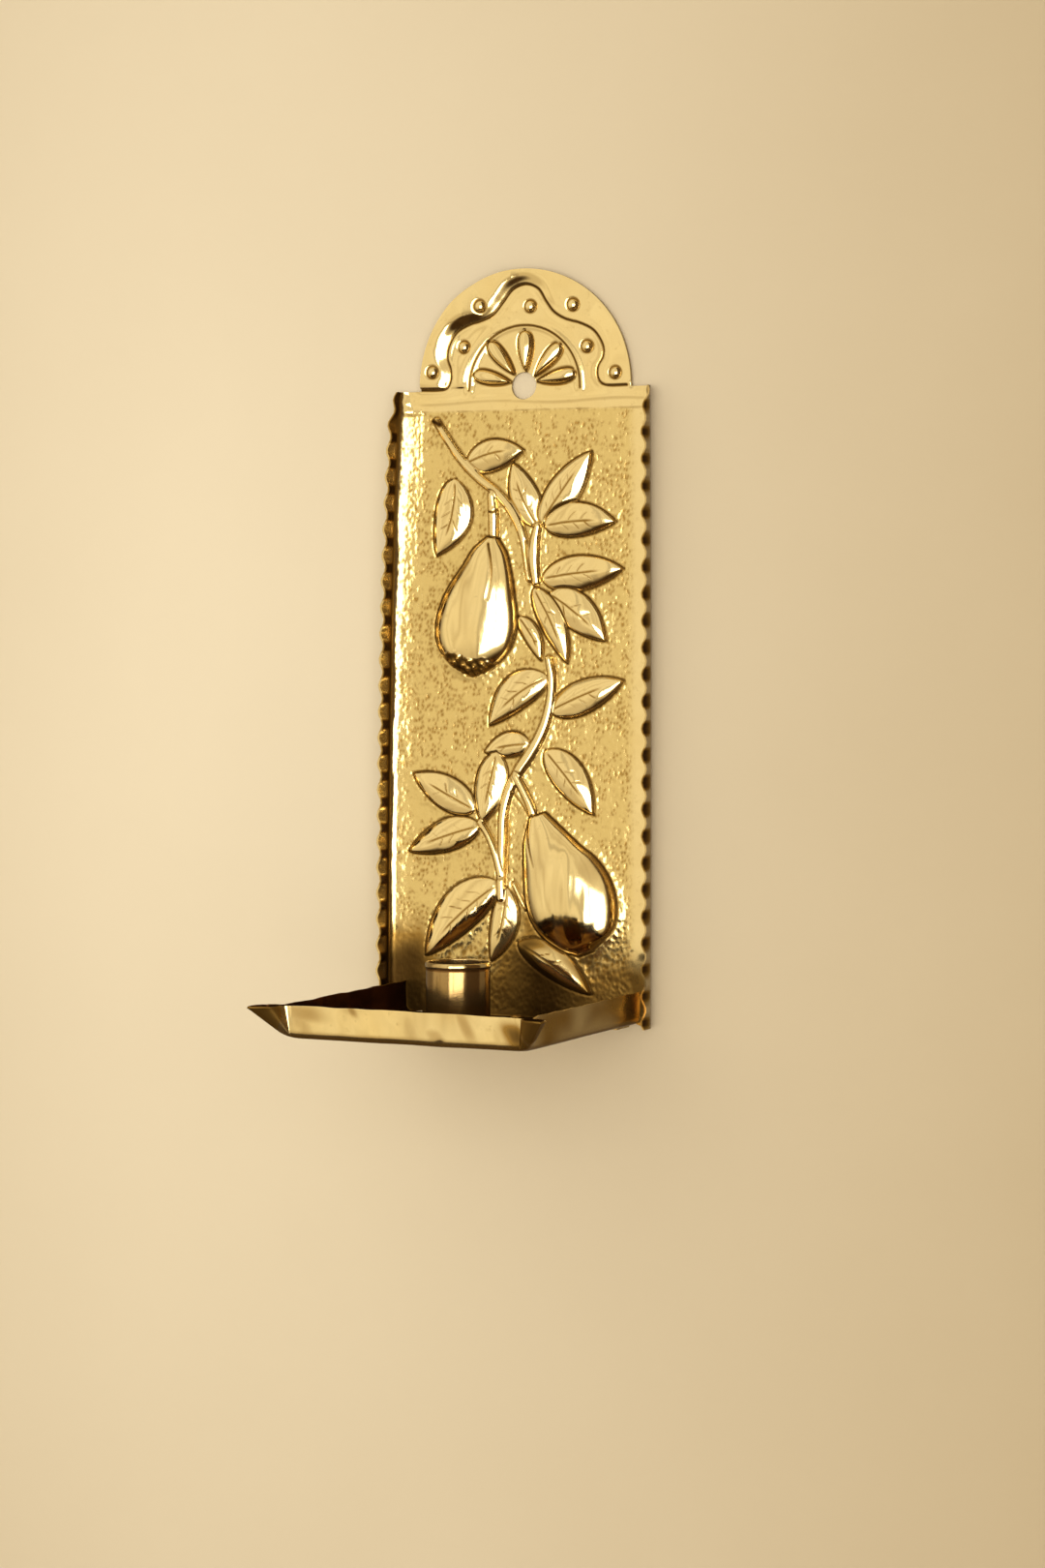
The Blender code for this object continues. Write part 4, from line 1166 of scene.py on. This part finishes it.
def turned(name, profile, centre, baseHeight, steps, material, node, wobble, tarnish):
    # A closed outline (radius, height) carried round an upright axis; the radius swings by wobble x
    # sin(2 x angle). tarnish is worked out from the outline, with painted shade on the socket.
    outline = np.array(profile, float)
    angle = np.arange(steps) * 2 * math.pi / steps
    radius = outline[:, :1] * (1 + wobble * np.sin(2 * angle + 0.7))
    x = centre[0] + radius * np.cos(angle)
    y = centre[1] + radius * np.sin(angle)
    points = np.stack(np.broadcast_arrays(x, y, outline[:, 1:] + baseHeight), -1)
    rows = len(outline)
    index = np.arange(rows * steps).reshape(rows, steps)
    faces = quads(np.pad(index, ((0, 1), (0, 1)), "wrap"), np.ones(index.shape, bool))[:, [0, 3, 2, 1]]
    if outline[0, 0] == 0:
        faces = faces[:-steps]       # a profile that starts and ends on the axis is closed already
    mesh = bpy.data.meshes.new(name)
    mesh.from_pydata((points.reshape(-1, 3) * mm).tolist(), [], faces.tolist())
    floatField(mesh, "tarnishAndShade", np.repeat(tarnish(outline)[:, None], steps, 1))
    bm = mergedMesh(mesh, 0.001 * mm)
    bm.to_mesh(mesh)
    bm.free()
    mesh.shade_smooth()
    mesh.set_sharp_from_angle(angle=math.radians(48))
    makeObject(name, mesh, material, node)


def arcOf(centreRadius, centreHeight, radius, tallness, start, end, steps):
    # A stretch of an ellipse, in degrees from the horizontal
    angle = np.radians(np.linspace(start, end, steps + 1))
    return np.column_stack([centreRadius + radius * np.cos(angle), centreHeight + tallness * np.sin(angle)])


socket = {
    "sheet": 0.6, "height": 25.6, "inner": 11.3, "hole": 1.9,
    "footRadius": 1.5, "insideFootRadius": 0.9,
    "bead": 2.3, "beadProud": 0.4, "beadRoot": 0.15,
    "steps": 128,
}
rivet = {"riseShare": 0.9, "dropShare": 0.7, "tailShare": 1.5, "steps": 48}          # of the shank's radius
burr = {"hole": 1.9, "chamfer": 0.15, "steps": 64}
socketBrass = brassMaterial("socketBrass", ("tarnishAndShade",), (1.0, 1.0, 6.0), redFinish, 0.7, 0.5)
rivetBrass = brassMaterial("rivetBrass", ("tarnishAndShade",), (1.0, 1.0, 1.0), age=1.0)


def socketTarnishAndShade(outline):
    # Browner towards the foot, with painted shade in the line under the bead and inside the cup
    radius, up = outline.T
    outer = socket["inner"] + socket["sheet"]
    beadFoot = socket["height"] - socket["bead"]
    side = 0.40 + smoothStep(15.0, 1.5, up) * 0.30 - 0.30 * (up > beadFoot)
    # Painted shade: the line under the bead and the inside of the cup darkened
    shadeUnderBead = 0.85 * np.exp(-((up - beadFoot + 0.1) / 0.45) ** 2) * (radius > outer - 0.1)
    within = 0.55 * smoothStep(outer - 0.2, socket["inner"], radius) * smoothStep(24.5, 20.0, up)
    return np.clip(np.maximum(np.maximum(side, shadeUnderBead), within), 0, 1)


def buildSocket():
    # A drawn cup: rolled bead at the mouth, straight side, rounded foot and a flat bottom with a hole
    s = socket
    outer, top = s["inner"] + s["sheet"], s["height"]
    root, foot, insideFoot = s["beadRoot"], s["footRadius"], s["insideFootRadius"]
    corner = s["inner"] - insideFoot
    profile = np.vstack([
        arcOf(outer - root, top - s["bead"] / 2, s["beadProud"] + root, s["bead"] / 2, 90, -90, 16),
        np.column_stack([np.full(30, outer), np.linspace(top - s["bead"] - root, foot, 30)]),
        arcOf(outer - foot, foot, foot, foot, 0, -90, 8)[1:],
        np.column_stack([np.linspace(outer - foot, s["hole"], 6)[1:], np.zeros(5)]),
        np.column_stack([np.linspace(s["hole"], corner, 7), np.full(7, s["sheet"])]),
        arcOf(corner, s["sheet"] + insideFoot, insideFoot, insideFoot, -90, 0, 6)[1:],
        np.column_stack([np.full(24, s["inner"]), np.linspace(s["sheet"] + 2 * insideFoot, top - 0.5, 24)]),
        arcOf(s["inner"] + 0.25, top - 0.3, 0.25, 0.25, 180, 100, 4)[1:],
    ])
    middle, _, under, _ = boxPlace("candle_socket")
    turned("candleSocket", profile, middle, under, s["steps"], socketBrass, "candle_socket",
           0.003, socketTarnishAndShade)


def buildRivet(node, name, shank):
    # Domed head, straight shank and closed-over tail, each end an arc of an ellipse
    middle, head, bottom, top = boxPlace(node)
    rise, drop, tail = (rivet[key] * shank for key in ("riseShare", "dropShare", "tailShare"))
    dome = arcOf(0, top - rise, head, rise, 90, 0, 11)
    close = arcOf(0, bottom + drop, tail, drop, 0, -90, 8)
    dome[0, 0] = close[-1, 0] = 0.0
    profile = np.vstack([dome, [(shank, top - rise), (shank, bottom + drop)], close])
    turned(name, profile, middle, 0.0, rivet["steps"], rivetBrass, node, 0.01,
           lambda outline: 0.25 + 0.5 * smoothStep(head * 0.8, head, outline[:, 0]))


def buildBurr():
    # A washer with its outer corners broken
    middle, outer, under, over = boxPlace("socket_burr")
    thick, chamfer, hole = over - under, burr["chamfer"], burr["hole"]
    profile = [(outer - chamfer, 0), (outer, -chamfer), (outer, chamfer - thick),
               (outer - chamfer, -thick), (hole, -thick), (hole, 0)]
    turned("socketBurr", profile, middle, over, burr["steps"], rivetBrass, "socket_burr",
           0.006, lambda outline: np.full(len(outline), 0.3))


buildSocket()
buildRivet("socket_rivet", "socketRivet", 1.6)
for number in (1, 2, 3):
    buildRivet(f"lap_rivet_{number}", f"lapRivet{number}", 1.3)
buildBurr()
print("socket, rivets and burr turned")

# Stage: a pale wall and floor, soft light and the camera

stage = {
    "wallColor": (0.86, 0.76, 0.58),
    # The wall's painted shade colour, away from the painted pool of light
    "wallShadeColor": (0.48, 0.375, 0.225),
    "floorColor": (0.72, 0.64, 0.50),
    "wallGap": 0.6 * mm,
    "wallHalfWidth": 4, "wallTop": 3,
    "floorDepth": 1.25, "floorReach": 5,
    "roomColor": (1.04, 0.94, 0.73),
    "roomBand": (0.42, 0.30, 0.15),
    "roomLow": (0.050, 0.026, 0.010),
    "roomShade": (0.10, 0.055, 0.022),
    # Dark stretches of the room: first and last bearing, softness, strength
    "darkSides": ((52, 112, 4, 1.0), (-112, -74, 8, 0.75), (-12.5, -6.5, 1.5, 0.4)),
    # Soft boxes: bearing, height, distance, width, tallness, power, whether seen in the brass
    "softBoxes": {"paneLeft": (2, -9, 2.4, 0.58, 1.7, 15, True),
                  "paneRight": (28, -9, 2.4, 1.45, 1.7, 38, True),
                  "fill": (16, -4, 3.2, 4.8, 4.0, 74, False)},
    "cameraPlace": (0.58718, -1.23653, -0.08793),
    "cameraTurn": 25.434, "cameraPitch": 2.680, "cameraRoll": -0.069, "cameraLens": 82.08,
}


def plainSheet(name, corners, material):
    mesh = bpy.data.meshes.new(name)
    mesh.from_pydata(corners, [], [(0, 1, 2, 3)])
    piece = bpy.data.objects.new(name, mesh)
    bpy.context.scene.collection.objects.link(piece)
    mesh.materials.append(material)
    return piece


def wallMaterial():
    # Matt paint with a painted pool of light, brightest left of the sconce and painted shade towards the
    # right; unseen from behind
    material, tree, shader, place = newMaterial("wallPaintAndLightPool")
    shader.inputs["Roughness"].default_value = 0.9
    shader.inputs["Specular IOR Level"].default_value = 0.1
    # Painted pool of light: brightest left of the sconce, falling to the painted shade colour at the edges
    mapping = addNode(tree, "ShaderNodeMapping", vector_type="POINT")
    mapping.inputs["Location"].default_value = (0.32, 0.0, 0.10)
    mapping.inputs["Scale"].default_value = (2.1, 0.0, 1.0)
    tree.links.new(place, mapping.inputs["Vector"])
    paintedLightPool = addNode(tree, "ShaderNodeTexGradient", gradient_type="SPHERICAL")
    tree.links.new(mapping.outputs["Vector"], paintedLightPool.inputs["Vector"])
    mottle = mathNode(tree, "MULTIPLY", noiseNode(tree, place, 9.0, 3.0), 0.10)
    factor = mathNode(tree, "ADD", paintedLightPool.outputs["Fac"], mottle, True)
    color = mixColor(tree, factor, stage["wallShadeColor"], stage["wallColor"])
    tree.links.new(color, shader.inputs["Base Color"])
    bumpNode(tree, shader, noiseNode(tree, place, 260.0, 4.0), 0.12, 0.4 * mm)
    clear = addNode(tree, "ShaderNodeBsdfTransparent")
    choose = addNode(tree, "ShaderNodeMixShader")
    tree.links.new(addNode(tree, "ShaderNodeNewGeometry").outputs["Backfacing"], choose.inputs[0])
    tree.links.new(shader.outputs[0], choose.inputs[1])
    tree.links.new(clear.outputs[0], choose.inputs[2])
    tree.links.new(choose.outputs[0], tree.nodes["Material Output"].inputs["Surface"])
    return material


def floorMaterial():
    material, tree, shader, place = newMaterial("floorPaint")
    shader.inputs["Roughness"].default_value = 0.85
    dark = tuple(value * 0.93 for value in stage["floorColor"])
    color = mixColor(tree, noiseNode(tree, place, 3.0, 4.0), dark, stage["floorColor"])
    tree.links.new(color, shader.inputs["Base Color"])
    return material


wallY = cadHigh.y + stage["wallGap"]
floorZ = cadLow.z - stage["floorDepth"]
side, top, frontY = stage["wallHalfWidth"], stage["wallTop"], wallY - stage["floorReach"]
wallCorners = [(-side, wallY, floorZ), (side, wallY, floorZ), (side, wallY, top), (-side, wallY, top)]
floorCorners = [(-side, wallY, floorZ), (-side, frontY, floorZ),
                (side, frontY, floorZ), (side, wallY, floorZ)]
wall = plainSheet("wall", wallCorners, wallMaterial())
floor = plainSheet("floor", floorCorners, floorMaterial())
wall.visible_glossy = wall.visible_diffuse = wall.visible_shadow = False
floor.visible_glossy = False


def roomLight():
    # The room all round: pale and warm, with soft upright bands for furniture and window frames, darker
    # below the waist and nearly black towards the floor, and with dark stretches at the sides
    world = bpy.data.worlds.new("room")
    bpy.context.scene.world = world
    world.use_nodes = True
    tree = world.node_tree
    direction = addNode(tree, "ShaderNodeSeparateXYZ")
    tree.links.new(addNode(tree, "ShaderNodeTexCoord").outputs["Generated"], direction.inputs[0])
    across, depth, up = (direction.outputs[key] for key in "XYZ")
    # Bearing from straight out of the wall, in degrees, growing to the right
    bearing = mathNode(tree, "ARCTAN2", across, mathNode(tree, "MULTIPLY", depth, -1.0))
    bearing = mathNode(tree, "MULTIPLY", bearing, 180 / math.pi)
    bands = addNode(tree, "ShaderNodeTexNoise", noise_dimensions="1D")
    bands.inputs["Scale"].default_value = 0.085
    bands.inputs["Detail"].default_value = 1.5
    tree.links.new(bearing, bands.inputs["W"])

    def sector(first, last, soft):
        rising = ramp(tree, bearing, first - soft, first + soft)
        falling = ramp(tree, bearing, last + soft, last - soft)
        return mathNode(tree, "MULTIPLY", rising, falling)

    def weakened(value, strength):
        return mathNode(tree, "MULTIPLY", value, strength)

    def most(values):
        result = values[0]
        for value in values[1:]:
            result = mathNode(tree, "MAXIMUM", result, value)
        return result

    bandShare = most([weakened(scaled(tree, bands.outputs["Fac"], 3.0, -1.35), 0.55),
                      weakened(ramp(tree, up, -0.10, -0.42), 0.5)])
    room = mixColor(tree, bandShare, stage["roomColor"], stage["roomBand"])
    room = mixColor(tree, ramp(tree, up, -0.74, -0.52), stage["roomLow"], room)
    behind = weakened(ramp(tree, depth, 0.15, 0.45), 0.72)
    above = weakened(mathNode(tree, "MULTIPLY", ramp(tree, up, 0.17, 0.24), sector(-5, 60, 8)), 0.12)
    sides = [weakened(sector(*place), strength) for *place, strength in stage["darkSides"]]
    room = mixColor(tree, most([*sides, behind, above]), room, stage["roomShade"])
    background = tree.nodes["Background"]
    tree.links.new(room, background.inputs["Color"])
    background.inputs["Strength"].default_value = 1.0


def softBox(name, bearing, elevation, distance, width, tall, power, glossy):
    # Bearing 0 is straight out from the wall and grows to the right, seen from the front. A box lights
    # either the reflections or the matt surfaces.
    a, e = math.radians(bearing), math.radians(elevation)
    data = bpy.data.lights.new(name, "AREA")
    data.shape = "RECTANGLE"
    data.size, data.size_y = width, tall
    data.energy = power
    box = bpy.data.objects.new(name, data)
    bpy.context.scene.collection.objects.link(box)
    towards = np.array([math.sin(a) * math.cos(e), -math.cos(a) * math.cos(e), math.sin(e)])
    box.location = np.array((cadLow + cadHigh) / 2) + towards * distance
    box.rotation_euler = (math.pi / 2 - e, 0.0, a)
    box.visible_glossy = glossy
    box.visible_diffuse = not glossy
    box.visible_camera = False


roomLight()
for name, values in stage["softBoxes"].items():
    softBox(name, *values)

cameraData = bpy.data.cameras.new("camera")
cameraData.lens = stage["cameraLens"]
cameraData.sensor_width = 36.0
cameraData.clip_start, cameraData.clip_end = 0.05, 50.0
camera = bpy.data.objects.new("camera", cameraData)
bpy.context.scene.collection.objects.link(camera)
camera.location = stage["cameraPlace"]
turns = (90 - stage["cameraPitch"], stage["cameraRoll"], stage["cameraTurn"])
camera.rotation_euler = [math.radians(turn) for turn in turns]
bpy.context.scene.camera = camera
bpy.context.scene.view_settings.view_transform = "Standard"
print("stage set")
